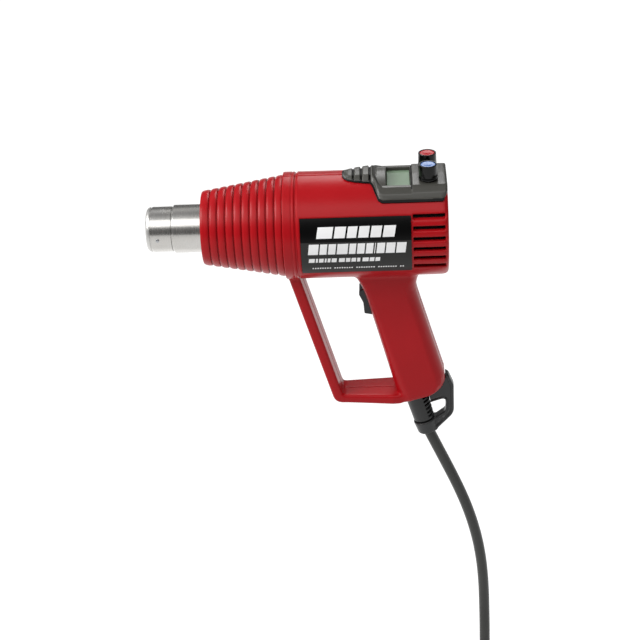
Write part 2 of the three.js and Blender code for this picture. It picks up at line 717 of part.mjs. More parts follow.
// ---- Rocker, switch and wiring ----
function rockerSolid() {
  const outline = roundedOutline([
    [171.0, -52.9, 1.2],
    [168.6, -56.0, 2.4],
    [168.6, -61.0, 2.4],
    [171.8, -68.4, 7],
    [172.5, -78.3, 1.2],
    [178.6, -79.6, 0],
    [185.4, -72.6, 1.5],
    [185.4, -60.4, 1.5],
    [178.6, -53.2, 0],
  ], 4);
  const body = plate(outline, -ROCKER_HALF_Y, ROCKER_HALF_Y);
  return cut(body, bar(new THREE.Vector3(PIVOT.x, -20, PIVOT.z), new THREE.Vector3(PIVOT.x, 20, PIVOT.z), 1.55, 16));
}
add("rocker_trigger", rockerSolid(), 0x19191a);
add(
  "trigger_pin",
  bar(new THREE.Vector3(PIVOT.x, -13.6, PIVOT.z), new THREE.Vector3(PIVOT.x, 13.6, PIVOT.z), 1.48, 16),
  0xb0b2b4,
  STEEL,
);
add("switch_body", box([188.6, -9, -82], [201.4, 9, -55]), 0x1c1c1e);

const clampAt = handlePoint(82, -16);
add("cord_clamp", box([clampAt.x, -11, clampAt.z - 6], [clampAt.x + 17, 11, clampAt.z]), 0x2a2a2c);

// One wire from the clamp up to the switch, along three hand-set points.
function wire(points) {
  const path = new THREE.CatmullRomCurve3(points.map((p) => new THREE.Vector3(...p)));
  const section = new THREE.Shape(new THREE.EllipseCurve(0, 0, 1.3, 1.3).getPoints(6).slice(0, 6));
  return solid(new THREE.ExtrudeGeometry(section, { steps: 10, bevelEnabled: false, extrudePath: path }));
}
const WIRES = [
  ["wire_line", [[205, -6, -132.8], [204, -6, -112], [196, -6, -92], [195, -6, -82.8]], 0x161616],
  ["wire_neutral", [[207, 0, -132.8], [208, 0, -108], [206.5, 0, -80], [203.5, 0, -34]], 0xdddddd],
  ["wire_earth", [[205, 6, -132.8], [204, 6, -112], [196, 6, -92], [195, 6, -82.8]], 0x1f7a3a],
];
WIRES.forEach(([name, points, colour]) => add(name, wire(points), colour));

// ---- Strain relief and hanging loop ----
const relief = (along) => handlePoint(along, RELIEF_OFFSET);

function strainRelief() {
  const parts = [
    bar(relief(94), relief(112), 8.1, 14),
    bar(relief(96), relief(99), 9.6, 14),
    bar(relief(HANDLE_END + GAP), relief(135.6), 9.4, 14, 8.4),
    bar(relief(130), relief(RELIEF_END), 6.6, 14, 6.2),
  ];
  for (let i = 0; i < 6; i++) {
    const along = 112.4 + i * 3.7;
    const radius = 10.1 - 0.17 * i;
    parts.push(bar(relief(along), relief(along + 2), radius, 14, radius - 0.06));
  }
  return join(...parts);
}
add("strain_relief", strainRelief(), 0x222325, { roughness: 0.7 });

function hangingLoop() {
  const outer = roundedOutline([
    [208, -158, 0],
    [222, -130, 0],
    [241.0, -140.6, 5],
    [245.2, -150.9, 6],
    [245.2, -177.6, 12],
    [229.6, -194.2, 4],
    [218.4, -190.4, 0],
  ]);
  const hole = roundedOutline([
    [224.5, -167.2, 0],
    [238.3, -162.6, 3],
    [238.3, -175.2, 5],
    [226.6, -184.2, 0],
  ]).reverse();
  const strap = plate(outer, -LOOP_HALF_Y, LOOP_HALF_Y, [hole]);
  const trimmed = cut(
    strap,
    handleSolid(GAP),
    bar(relief(100), relief(136.6), 10.7, 16, 10.2),
  );
  const collar = bar(relief(136.9), relief(148.6), 9.8, 16, 8.6);
  const bore = bar(relief(120), relief(160), 6.6 + GAP + 0.1, 14);
  return largest(cut(join(trimmed, collar), bore));
}
add("hanging_loop", hangingLoop(), 0x232427, { roughness: 0.7 });

// ---- Supply cord ----
const cordSection = () => new THREE.Shape(new THREE.EllipseCurve(0, 0, CORD_R, CORD_R).getPoints(8).slice(0, 8));

function cordTube(points, steps) {
  const path = new THREE.CatmullRomCurve3(points.map((p) => new THREE.Vector3(...p)), false, "centripetal");
  return solid(new THREE.ExtrudeGeometry(cordSection(), { steps, bevelEnabled: false, extrudePath: path }));
}
const CORD = [0x2c2e2d, { roughness: 0.65 }];
add("cord_lead", cordTube(CORD_ROUTE, 26), ...CORD);

// The coil's outer shape: three turns side by side, with the last turns on top at the far side.
function coilSolid() {
  const { innerTurn, outerTurn, pitch } = COIL;
  const half = 1.5 * pitch;
  const r0 = innerTurn - CORD_R;
  const r1 = innerTurn + CORD_R + 0.1;
  const r2 = outerTurn + CORD_R;
  const profile = [[r0, -half], [r1, -half], [r1, -0.5 * pitch], [r2, -0.5 * pitch], [r2, half], [r0, half]];
  const points = profile.map(([r, y]) => new THREE.Vector2(r, y));
  const geometry = new THREE.LatheGeometry([...points, points[0]], 28);
  geometry.translate(COIL.x, 0, COIL.z);
  return solid(geometry);
}
add("cord_coil", coilSolid(), ...CORD);

const tailX = COIL.x - COIL.outerTurn;
const tail = [[tailX, 0, COIL.z - 37], [tailX, 0, COIL.z - 52], [tailX, 0, COIL.z - TAIL_END]];
add("cord_tail", cordTube(tail, 3), ...CORD);

// A strap round the coil's right-hand side.
function coilTie() {
  const { innerTurn, outerTurn, pitch } = COIL;
  const bow = 1.2; // the inner turn's curve over the strap's width
  const low = [COIL.x + innerTurn - CORD_R - bow, -1.5 * pitch - GAP];
  const high = [COIL.x + outerTurn + CORD_R + GAP, 1.5 * pitch + GAP];
  const thick = 1.4;
  const half = 6;
  return cut(
    box([low[0] - thick, low[1] - thick, COIL.z - half], [high[0] + thick, high[1] + thick, COIL.z + half]),
    box([low[0], low[1], COIL.z - 20], [high[0], high[1], COIL.z + 20]),
  );
}
add("coil_tie", coilTie(), 0x111112);

function plugBody() {
  const top = COIL.z - TAIL_END - GAP;
  const sections = [
    [top, 6.2, 6.2],
    [top - 12, 7.4, 7.4],
    [top - 20, 12.4, 11.0],
    [top - 40, 14.0, 12.2],
    [top - 42, 13.2, 11.4],
  ];
  return loft(
    sections.map(([z, a, b]) => {
      const ring = [];
      for (let i = 0; i < 20; i++) {
        const t = (i * Math.PI) / 10;
        ring.push(new THREE.Vector3(tailX + a * Math.cos(t), b * Math.sin(t), z));
      }
      return ring;
    }),
  );
}
add("plug_body", plugBody(), 0x202123, { roughness: 0.6 });

const plugFace = COIL.z - TAIL_END - 42 - 2 * GAP;
const BRASS = { metalness: 0.9, roughness: 0.3 };
for (const [name, side] of [["plug_blade_line", -1], ["plug_blade_neutral", 1]]) {
  const x = tailX + side * 6.35;
  add(name, box([x - 0.75, -4.4, plugFace - 17], [x + 0.75, 1.9, plugFace]), 0xc9a24a, BRASS);
}
add(
  "plug_earth_pin",
  bar(new THREE.Vector3(tailX, 8.0, plugFace), new THREE.Vector3(tailX, 8.0, plugFace - 19), 2.4, 16),
  0xc9a24a,
  BRASS,
);

export default group;
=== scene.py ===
"""Pistol-grip heat gun: the looks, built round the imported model.

Shapes are worked out in millimetres in the barrel frame: x = 0 at the nozzle's tip, z = 0 on the
barrel's axis, the nozzle towards -X and the near flank towards -Y. to_row() puts them in the row
frame, in metres.
"""
import math
import bmesh
import bpy
import numpy as np
import openvdb
from mathutils import Matrix, Vector
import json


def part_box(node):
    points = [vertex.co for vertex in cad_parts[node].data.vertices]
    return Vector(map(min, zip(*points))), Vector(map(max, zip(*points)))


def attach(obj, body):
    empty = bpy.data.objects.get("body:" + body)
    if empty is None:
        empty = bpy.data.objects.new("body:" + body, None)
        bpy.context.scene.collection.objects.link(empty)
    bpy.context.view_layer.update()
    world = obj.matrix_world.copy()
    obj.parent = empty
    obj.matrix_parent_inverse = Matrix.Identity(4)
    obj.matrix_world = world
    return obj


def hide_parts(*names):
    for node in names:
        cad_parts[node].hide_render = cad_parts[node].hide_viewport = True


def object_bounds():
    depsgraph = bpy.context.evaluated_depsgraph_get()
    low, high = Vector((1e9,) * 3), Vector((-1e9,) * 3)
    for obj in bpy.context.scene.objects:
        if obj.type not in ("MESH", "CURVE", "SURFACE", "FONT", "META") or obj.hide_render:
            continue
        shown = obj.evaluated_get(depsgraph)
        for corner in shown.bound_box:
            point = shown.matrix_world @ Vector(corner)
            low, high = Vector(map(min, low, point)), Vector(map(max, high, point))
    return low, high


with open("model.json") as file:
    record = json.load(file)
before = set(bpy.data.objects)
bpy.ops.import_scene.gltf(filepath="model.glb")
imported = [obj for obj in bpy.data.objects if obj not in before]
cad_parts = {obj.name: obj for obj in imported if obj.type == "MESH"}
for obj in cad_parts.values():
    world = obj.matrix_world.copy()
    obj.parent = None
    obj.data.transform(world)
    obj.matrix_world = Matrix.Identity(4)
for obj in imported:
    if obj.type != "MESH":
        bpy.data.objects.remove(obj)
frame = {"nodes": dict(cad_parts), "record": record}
cad_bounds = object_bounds()

# ---- The barrel frame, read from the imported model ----
BARREL_FRONT = 20.2
barrel_low, barrel_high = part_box("heater_barrel")
GRIP = np.array([BARREL_FRONT - 1000 * barrel_low.x, 0.0, -500 * (barrel_low.z + barrel_high.z)])


def to_row(points):
    return (np.asarray(points, float) - GRIP) * 0.001


# ---- Dimensions shared with the CAD model ----
GAP = 0.3
WALL = 2.6
BODY_FRONT, BODY_REAR, BODY_R = 111.2, 241.4, 43.1
CONE_FRONT, CONE_REAR, CONE_FRONT_R, CONE_REAR_R = 45.4, 110.9, 30.0, 41.1
RIB_COUNT = 10
SLEEVE_R, BARREL_R, BARREL_REAR = 18.35, 19.5, 118.0
STEP_X = 22.0
LEAN = math.radians(15)
HANDLE_TOP = (192.2, -50.0)
BAR_TOP, BAR_BOTTOM = -152.2, -159.8
VENT_COUNT, VENT_PITCH, VENT_HEIGHT = 6, 8.5, 3.9
VENT_FRONT, VENT_REAR, VENT_MIDDLE_Z = 213.6, 238.7, -0.6
WINDOW = (193.6, 212.4, 18.7, 37.3)
WELL = (191.6, 238.2, 19.6, 27.5)
PLATE_FRONT, PLATE_TOP, BEZEL_TOP = 213.8, 41.6, 40.3
REAR_NOTCH = (236.6, 21.8, 33.0)
DIAL_X, DIAL_Y, DIAL_R, DIAL_TOP = 226.5, 11.8, 7.25, 54.7
PIVOT = (181.4, -66.4)
ROCKER_HALF_Y = 7.6
RELIEF_OFFSET = -7.6
CORD_R = 4.7
COIL_X, COIL_Z, INNER_TURN, OUTER_TURN, COIL_PITCH = 231.5, -520.0, 50.5, 60.3, 9.8
LABEL_X0, LABEL_X1, LABEL_DOWN, LABEL_UP, LABEL_R = 125.2, 212.0, -37.5, 31.0, 43.35
SCREWS = {
    "screw_body_front": (124.6, -36.2, 13.5),
    "screw_guard_corner": (150.2, -154.6, 9.5),
    "screw_body_top": (177.6, 35.6, 15.5),
    "screw_handle_top": (217.0, -96.0, 12.5),
    "screw_handle_bottom": (229.4, -140.2, 12.5),
}


# ---- Materials ----
def srgb(r, g, b):
    return tuple(((c / 255 + 0.055) / 1.055) ** 2.4 if c > 10 else c / 3294 for c in (r, g, b))


class Nodes:
    """A short way to write a material's node tree."""

    def __init__(self, name):
        self.material = bpy.data.materials.new(name)
        self.material.use_nodes = True
        self.tree = self.material.node_tree
        self.shader = self.tree.nodes["Principled BSDF"]
        self.place = self.node("ShaderNodeTexCoord").outputs["Object"]

    def node(self, kind, **settings):
        made = self.tree.nodes.new(kind)
        for key, value in settings.items():
            setattr(made, key, value)
        return made

    def link(self, source, target):
        self.tree.links.new(source, target)

    def set(self, **values):
        for key, value in values.items():
            self.shader.inputs[key.replace("_", " ")].default_value = value

    def noise(self, scale, detail=3.0, stretch=(1, 1, 1), rough=0.55):
        made = self.node("ShaderNodeTexNoise")
        made.inputs["Scale"].default_value = scale
        made.inputs["Detail"].default_value = detail
        made.inputs["Roughness"].default_value = rough
        mapping = self.node("ShaderNodeMapping")
        mapping.inputs["Scale"].default_value = stretch
        self.link(self.place, mapping.inputs["Vector"])
        self.link(mapping.outputs["Vector"], made.inputs["Vector"])
        return made.outputs["Fac"]

    def spread(self, value, low, high, start=0.0, end=1.0):
        made = self.node("ShaderNodeMapRange")
        made.inputs["From Min"].default_value = start
        made.inputs["From Max"].default_value = end
        made.inputs["To Min"].default_value = low
        made.inputs["To Max"].default_value = high
        self.link(value, made.inputs["Value"])
        return made.outputs["Result"]

    def mix(self, factor, a, b):
        made = self.node("ShaderNodeMix", data_type="RGBA")
        self.link(factor, made.inputs["Factor"])
        for socket, value in ((made.inputs["A"], a), (made.inputs["B"], b)):
            if isinstance(value, tuple):
                socket.default_value = (*value, 1.0)
            else:
                self.link(value, socket)
        return made.outputs["Result"]

    def bump(self, height, distance, strength=1.0):
        made = self.node("ShaderNodeBump")
        made.inputs["Distance"].default_value = distance
        made.inputs["Strength"].default_value = strength
        self.link(height, made.inputs["Height"])
        return made.outputs["Normal"]

    def pointiness(self, start, end):
        return self.spread(self.node("ShaderNodeNewGeometry").outputs["Pointiness"], 0.0, 1.0, start, end)

    def feed(self, **sources):
        """Links sources to the shader's sockets."""
        for key, source in sources.items():
            self.link(source, self.shader.inputs[key.replace("_", " ")])


MAT = {}
MICRON = 0.000001


def moulded(name, colour, rough=0.4, grain=1500, depth=40, worn=0.0, coat=0.0, tint=0.12, gloss=0.5):
    """Plastic or rubber: spark-eroded grain, its depth in microns, flow marks and edges rubbed paler."""
    m = Nodes(name)
    dark = tuple(c * (1 - tint) for c in colour)
    light = tuple(min(1.0, c * (1 + tint)) for c in colour)
    shade = m.mix(m.spread(m.noise(24, 2), 0.0, 1.0, 0.3, 0.7), dark, light)
    if worn:
        rubbed = tuple(c + (0.5 - c) * 0.16 for c in colour)
        amount = m.node("ShaderNodeMath", operation="MULTIPLY")
        m.link(m.pointiness(0.53, 0.64), amount.inputs[0])
        amount.inputs[1].default_value = worn
        shade = m.mix(amount.outputs[0], shade, rubbed)
    sheen = m.spread(m.noise(45, 2), rough - 0.02, rough + 0.04, 0.3, 0.7)
    m.feed(Base_Color=shade, Roughness=sheen, Normal=m.bump(m.noise(grain, 2), depth * MICRON, 0.6))
    m.set(Specular_IOR_Level=gloss, Coat_Weight=coat, Coat_Roughness=0.1)
    MAT[name] = m.material


def turned_metal(name, colour, rough=0.27, lines=2600, depth=12, tarnish=None, axis=0):
    """Metal with fine lines round its axis, from turning or brushing; their depth is in microns."""
    m = Nodes(name)
    stretch = [0.02, 0.02, 0.02]
    stretch[axis] = 1.0
    fine = m.noise(lines, 3, tuple(stretch), 0.6)
    base = m.mix(m.spread(m.noise(60, 4), 0, 1, 0.3, 0.7), tuple(c * 0.9 for c in colour), colour)
    if tarnish:
        base = m.mix(m.spread(m.noise(22, 5), 0.0, 0.5, 0.45, 0.75), base, tarnish)
    sheen = m.spread(fine, rough - 0.03, rough + 0.05, 0.3, 0.7)
    m.feed(Base_Color=base, Roughness=sheen, Normal=m.bump(fine, depth * MICRON, 0.35))
    m.set(Metallic=1.0, Anisotropic=0.35)
    MAT[name] = m.material


def foam(name, colour):
    """Open foam: dark cells between paler walls; the cells' darkening is painted shade in the pores."""
    m = Nodes(name)
    cells = m.node("ShaderNodeTexVoronoi")
    cells.inputs["Scale"].default_value = 900
    m.link(m.place, cells.inputs["Vector"])
    depth = cells.outputs["Distance"]
    # The colour darkens towards each cell's middle: painted shade in the pores.
    m.feed(Base_Color=m.mix(depth, tuple(c * 0.4 for c in colour), colour), Normal=m.bump(depth, 0.0006))
    m.set(Roughness=0.95)
    MAT[name] = m.material
RED = (0.4, 0.0045, 0.0085)
moulded("red_housing", RED, 0.3, 1300, 15, worn=0.3, tint=0.05, gloss=0.2)
turned_metal("screw_steel", (0.42, 0.42, 0.43), 0.3, 1800)
turned_metal("polished_steel", (0.7, 0.69, 0.67), 0.24, 2200, 6, tarnish=(0.52, 0.49, 0.44))
turned_metal("satin_steel", (0.72, 0.71, 0.69), 0.42, 1800)
turned_metal("plated_steel", (0.5, 0.51, 0.52), 0.3)
moulded("mica", srgb(180, 160, 120), 0.7, 500, 100)
moulded("ceramic", srgb(214, 205, 190), 0.8, 900, 80)
turned_metal("resistance_wire", (0.36, 0.33, 0.3), 0.45, 1500)
moulded("black_nylon", srgb(36, 36, 38), 0.5)
moulded("ferrite", srgb(54, 54, 56), 0.7, 700)
turned_metal("copper_steel", (0.55, 0.3, 0.14), 0.35, 1200)
moulded("ivory_nylon", srgb(212, 206, 190), 0.4)
foam("filter_foam", srgb(24, 24, 25))
moulded("grey_panel", srgb(66, 65, 60), 0.33, 1500, 30, worn=0.5, tint=0.07)
moulded("clear_lens", srgb(118, 139, 116), 0.3, 3000, 1, tint=0.04, gloss=0.14)
moulded("display_glass", srgb(60, 70, 60), 0.3)
moulded("circuit_board", srgb(24, 92, 50), 0.4, 400, 80)
moulded("gloss_black", srgb(4, 4, 4), 0.2, 2400, 4, worn=0.2, coat=0.1, tint=0.1, gloss=0.3)
moulded("red_cap", srgb(176, 12, 26), 0.16, 2400, 2, gloss=0.14)
moulded("blue_cap", srgb(60, 106, 176), 0.16, 2400, 2, coat=0.1, gloss=0.4)
moulded("label_film", srgb(5, 5, 5), 0.3, 900, 6, gloss=0.15)
moulded("label_grey", srgb(46, 46, 45), 0.34, 900, 6, gloss=0.2)
moulded("label_print", srgb(250, 250, 250), 0.4, 1200, 10)
moulded("satin_black", srgb(24, 25, 27), 0.3, 1600, 20, worn=0.6)
moulded("wire_brown", srgb(32, 28, 27))
moulded("wire_pale", srgb(220, 220, 216))
moulded("wire_green", srgb(34, 120, 60))
moulded("relief_rubber", srgb(36, 37, 37), 0.42, worn=0.5)
moulded("loop_nylon", srgb(40, 41, 42), 0.32, 1500, 30, worn=0.9)
moulded("cord_jacket", srgb(48, 49, 46), 0.38, 1100)
moulded("tie_rubber", srgb(22, 22, 23), 0.5)
moulded("plug_nylon", srgb(34, 35, 37), 0.42, 1300, worn=0.5)
turned_metal("contact_brass", (0.72, 0.55, 0.24), 0.25, 1500, 10, tarnish=(0.5, 0.36, 0.15), axis=2)
# ---- Making pieces ----
def finish_piece(obj, slot, *nodes, body="housing", materials=None):
    """Gives a piece its materials, the slot's own unless others are given, and its body, and hides the CAD
    nodes it stands for.
    """
    for name in materials or [slot]:
        obj.data.materials.append(MAT[name])
    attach(obj, body)
    if nodes:
        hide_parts(*nodes)
    return obj


def new_object(name, data):
    obj = bpy.data.objects.new(name, data)
    bpy.context.scene.collection.objects.link(obj)
    return obj


def mesh_object(name, points, faces):
    """A mesh object in the row frame from points in the barrel frame, in millimetres."""
    mesh = bpy.data.meshes.new(name)
    mesh.from_pydata([tuple(p) for p in to_row(points)], [], [tuple(int(i) for i in f) for f in faces])
    bm = bmesh.new()
    bm.from_mesh(mesh)
    bmesh.ops.recalc_face_normals(bm, faces=bm.faces)
    bm.to_mesh(mesh)
    bm.free()
    for polygon in mesh.polygons:
        polygon.use_smooth = True
    return new_object(name, mesh)


def sharpen(obj, degrees=32):
    obj.data.set_sharp_from_angle(angle=math.radians(degrees))
    return obj


def lathe_object(name, profile, segments, place=None, edge=32):
    """A closed solid of revolution about X from a closed loop of [x, r] points."""
    turns = np.linspace(0, 2 * math.pi, segments, endpoint=False)
    points, rings = [], []
    for x, r in profile:
        if r < 1e-6:
            rings.append([len(points)] * segments)
            points.append((x, 0.0, 0.0))
        else:
            rings.append(list(range(len(points), len(points) + segments)))
            points.extend((x, r * math.cos(t), r * math.sin(t)) for t in turns)
    faces = []
    for a, b in zip(rings, rings[1:] + rings[:1]):
        for j in range(segments):
            k = (j + 1) % segments
            corners = list(dict.fromkeys((a[j], a[k], b[k], b[j])))
            if len(corners) > 2:
                faces.append(corners)
    points = np.array(points)
    if place is not None:
        points = place(points)
    return sharpen(mesh_object(name, points, faces), edge)


def arc(cx, cr, radius, start, end, steps=6):
    """Points on a circle in the [x, r] plane, angles in degrees."""
    return [
        (cx + radius * math.cos(math.radians(t)), cr + radius * math.sin(math.radians(t)))
        for t in np.linspace(start, end, steps)
    ]


def turned_skin(node, profile, segments, slot, place=None, edge=32, **about):
    """A solid of revolution as the piece that stands for one CAD node."""
    obj = lathe_object(node + "_skin", profile, segments, place, edge)
    return finish_piece(obj, slot, node, **about)


# ---- Distance fields ----
class Field:
    """A block of sample points, dense enough to draw a solid by its distance field."""

    def __init__(self, low, high, step):
        self.low = np.array(low, float)
        self.step = np.array([step] * 3 if np.isscalar(step) else step, float)
        count = np.ceil((np.array(high, float) - self.low) / self.step).astype(int) + 1
        axis = [(self.low[i] + self.step[i] * np.arange(count[i])).astype(np.float32) for i in range(3)]
        self.x = axis[0][:, None, None]
        self.y = axis[1][None, :, None]
        self.z = axis[2][None, None, :]
        self.shape = tuple(count)

    def flat(self, points):
        """Signed distance from a closed outline in the plane of x and z."""
        return flat_distance(points, self.x.ravel(), self.z.ravel())[:, None, :]


    def sample(self, block, at):
        """The block's value at points in index units, between its samples."""
        cell = np.clip(np.floor(at).astype(np.int64), 0, np.array(self.shape) - 2)
        t = np.clip(at - cell, 0, 1)
        flat = block.ravel()
        _, ny, nz = self.shape
        base = (cell[:, 0] * ny + cell[:, 1]) * nz + cell[:, 2]
        out = 0
        for i in (0, 1):
            wx = t[:, 0] if i else 1 - t[:, 0]
            for j in (0, 1):
                wy = wx * (t[:, 1] if j else 1 - t[:, 1])
                row = base + (i * ny + j) * nz
                out = out + wy * ((1 - t[:, 2]) * flat[row] + t[:, 2] * flat[row + 1])
        return out

    def slope(self, block, at, reach=0.8):
        sides = []
        for axis in range(3):
            shift = np.zeros(3)
            shift[axis] = reach
            rise = self.sample(block, at + shift) - self.sample(block, at - shift)
            sides.append(rise / (2 * reach * self.step[axis]))
        return np.stack(sides, 1)

    def object(self, name, field, merge, place=None):
        """The field's zero surface as a mesh object, with its normals read from the field."""
        limit = float(3 * self.step.max())
        grid = openvdb.FloatGrid(limit)
        block = np.clip(np.broadcast_to(field, self.shape), -limit, limit)
        block = np.ascontiguousarray(block, dtype=np.float32)
        grid.copyFromArray(block, tolerance=1e-6)
        points, triangles, quads = grid.convertToPolygons(isovalue=0.0, adaptivity=merge)
        mesh = bpy.data.meshes.new(name)
        mesh.vertices.add(len(points))
        mesh.vertices.foreach_set("co", (points * self.step + self.low).astype(np.float32).ravel())
        corners = np.concatenate([quads.ravel(), triangles.ravel()]).astype(np.int32)
        starts = np.concatenate([np.arange(len(quads)) * 4, quads.size + np.arange(len(triangles)) * 3])
        mesh.loops.add(corners.size)
        mesh.loops.foreach_set("vertex_index", corners)
        mesh.polygons.add(len(starts))
        mesh.polygons.foreach_set("loop_start", starts.astype(np.int32))
        mesh.update(calc_edges=True)
        mesh.validate()
        obj = new_object(name, mesh)
        spots = np.empty(len(mesh.vertices) * 3, np.float32)
        mesh.vertices.foreach_get("co", spots)
        spots = spots.reshape(-1, 3).astype(float)
        for _ in range(2):
            at = (spots - self.low) / self.step
            height, slope = self.sample(block, at), self.slope(block, at, 0.5)
            move = slope * (height / np.maximum((slope**2).sum(1), 0.1))[:, None]
            size = np.linalg.norm(move, axis=1)
            most = 0.4 * float(self.step.min())
            spots -= move * np.minimum(1, most / np.maximum(size, 1e-9))[:, None]
        slope = self.slope(block, (spots - self.low) / self.step)
        ends = spots + 0.01 * slope / np.maximum(np.linalg.norm(slope, axis=1), 1e-6)[:, None]
        if place is not None:
            spots, ends = place(spots), place(ends)
        ends = (ends - spots) / np.maximum(np.linalg.norm(ends - spots, axis=1), 1e-12)[:, None]
        mesh.vertices.foreach_set("co", to_row(spots).astype(np.float32).ravel())
        mesh.update()
        corners = np.empty(len(mesh.loops), np.int32)
        mesh.loops.foreach_get("vertex_index", corners)
        starts = np.empty(len(mesh.polygons), np.int32)
        mesh.polygons.foreach_get("loop_start", starts)
        a, b, c = (spots[corners[starts + i]] for i in range(3))
        facing = np.cross(b - a, c - a)
        if (facing * ends[corners[starts]]).sum() < 0:
            mesh.flip_normals()
        mesh.polygons.foreach_set("use_smooth", np.ones(len(mesh.polygons), bool))
        mesh.normals_split_custom_set_from_vertices(ends.astype(np.float32))
        return obj


def skin(f, node, shape, slot, merge=0.01, place=None, **about):
    """Draws a field as the piece that stands for one CAD node."""
    return finish_piece(f.object(node + "_skin", shape, merge, place), slot, node, **about)


def union(*fields):
    out = fields[0]
    for other in fields[1:]:
        out = np.minimum(out, other)
    return out


def blend(a, b, k):
    """A union with a fillet about k wide."""
    h = np.maximum(k - np.abs(a - b), 0) / k
    return np.minimum(a, b) - h * h * k * 0.25


def cut(a, b, k=0.0):
    """a without b, with the new edge rounded about k wide."""
    return np.maximum(a, -b) if k == 0 else -blend(-a, b, k)


def both(a, b, k):
    """What a and b share, with the new edge rounded about k wide."""
    return -blend(-a, -b, k)


def slab(coordinate, low, high):
    return np.maximum(low - coordinate, coordinate - high)


def outline(corners, steps=8):
    """A closed outline with rounded corners; each corner is (u, v, radius)."""
    points = []
    for i, (u, v, radius) in enumerate(corners):
        here = np.array([u, v], float)
        if not radius:
            points.append(here)
            continue
        back = np.array(corners[i - 1][:2], float) - here
        ahead = np.array(corners[(i + 1) % len(corners)][:2], float) - here
        back /= np.linalg.norm(back)
        ahead /= np.linalg.norm(ahead)
        half = math.acos(float(np.clip(back @ ahead, -1, 1))) / 2
        reach = radius / math.tan(half)
        start, end = here + back * reach, here + ahead * reach
        for t in np.linspace(0, 1, steps):
            points.append((1 - t) ** 2 * start + 2 * t * (1 - t) * here + t * t * end)
    return np.array(points)


def flat_distance(points, u, v):
    """Signed distance from the closed outline, on the grid of u by v."""
    u, v = np.asarray(u, np.float64)[:, None], np.asarray(v, np.float64)[None, :]
    best = np.full((u.shape[0], v.shape[1]), 1e18)
    inside = np.zeros(best.shape, bool)
    for a, b in zip(points, np.roll(points, -1, axis=0)):
        eu, ev = b[0] - a[0], b[1] - a[1]
        length = eu * eu + ev * ev
        if length == 0:
            continue
        t = np.clip(((u - a[0]) * eu + (v - a[1]) * ev) / length, 0, 1)
        best = np.minimum(best, (u - a[0] - t * eu) ** 2 + (v - a[1] - t * ev) ** 2)
        if ev:
            crosses = (a[1] > v) != (b[1] > v)
            inside ^= crosses & (u < a[0] + (v - a[1]) * eu / ev)
    return (np.sqrt(best) * np.where(inside, -1, 1)).astype(np.float32)


def extruded(flat, y, half, edge):
    """A flat shape, thick from -half to half, with its edges rounded by the radius edge."""
    a, b = flat + edge, np.abs(y) - half + edge
    return np.minimum(np.maximum(a, b), 0) + np.hypot(np.maximum(a, 0), np.maximum(b, 0)) - edge


def turned(profile, x, r, step=0.12):
    """A solid of revolution about X from a closed [x, r] outline; r is the same at every x."""
    rows = np.arange(0, float(r.max()) + 3 * step, step)
    table = flat_distance(np.array(profile, float), x.ravel(), rows)
    at = r[0] / step
    low = np.floor(at).astype(np.int32)
    part = (at - low).astype(np.float32)
    return table[:, low] * (1 - part) + table[:, low + 1] * part


def tube(u, v, middle, radius):
    return np.sqrt((u - middle[0]) ** 2 + (v - middle[1]) ** 2) - radius


# ---- Camera ----
# The photograph's own camera, solved from the tool's outline.
VIEW_YAW, VIEW_PITCH, VIEW_ROLL = (math.radians(a) for a in (-2.875, 27.92, -2.94))
VIEW_LENS = 94.17
VIEW_FROM = (196.83, -1224.91, 562.84)


def make_camera():
    ahead = Vector((
        math.sin(VIEW_YAW) * math.cos(VIEW_PITCH),
        math.cos(VIEW_YAW) * math.cos(VIEW_PITCH),
        -math.sin(VIEW_PITCH),
    ))
    right = Vector((math.cos(VIEW_YAW), -math.sin(VIEW_YAW), 0))
    up = right.cross(ahead)
    turned_right = math.cos(VIEW_ROLL) * right + math.sin(VIEW_ROLL) * up
    turned_up = math.cos(VIEW_ROLL) * up - math.sin(VIEW_ROLL) * right
    data = bpy.data.cameras.new("view")
    data.lens = VIEW_LENS
    data.sensor_width = 36
    data.clip_start, data.clip_end = 0.05, 50
    camera = new_object("view", data)
    turn = Matrix((turned_right, turned_up, -ahead)).transposed()
    camera.matrix_world = Matrix.Translation(Vector(to_row(VIEW_FROM))) @ turn.to_4x4()
    bpy.context.scene.camera = camera


make_camera()

# ---- Supply cord ----
# The cord's middle line from the strain relief down to the coil, in metres in the row frame.
CORD_ROUTE = [
    (0.0183414, 0, -0.0967719), (0.0223414, 0, -0.1060719), (0.0263414, 0, -0.1153719),
    (0.0303414, 0, -0.1246719), (0.0343414, 0, -0.1339719), (0.0382414, 0, -0.1432719),
    (0.0420414, 0, -0.1526719), (0.0456414, 0, -0.1621719), (0.0490414, 0, -0.1717719),
    (0.0521414, 0, -0.1815719), (0.0549414, 0, -0.1915719), (0.0574414, 0, -0.2017719),
    (0.0596414, 0, -0.2123719), (0.0614414, 0, -0.2233719), (0.0629414, 0, -0.2347719),
    (0.0640414, 0, -0.2467719), (0.0648414, 0, -0.2593719), (0.0653414, 0, -0.2727719),
    (0.0656414, -0.0004, -0.2877719), (0.0658414, -0.0014, -0.3027719),
    (0.0658414, -0.0032, -0.3167719), (0.0656414, -0.0054, -0.3297719),
    (0.0627414, -0.0076, -0.3451719), (0.0541414, -0.0096, -0.3580719),
    (0.0471414, -0.01, -0.3626719),
]
TAIL_END = COIL_Z - 68


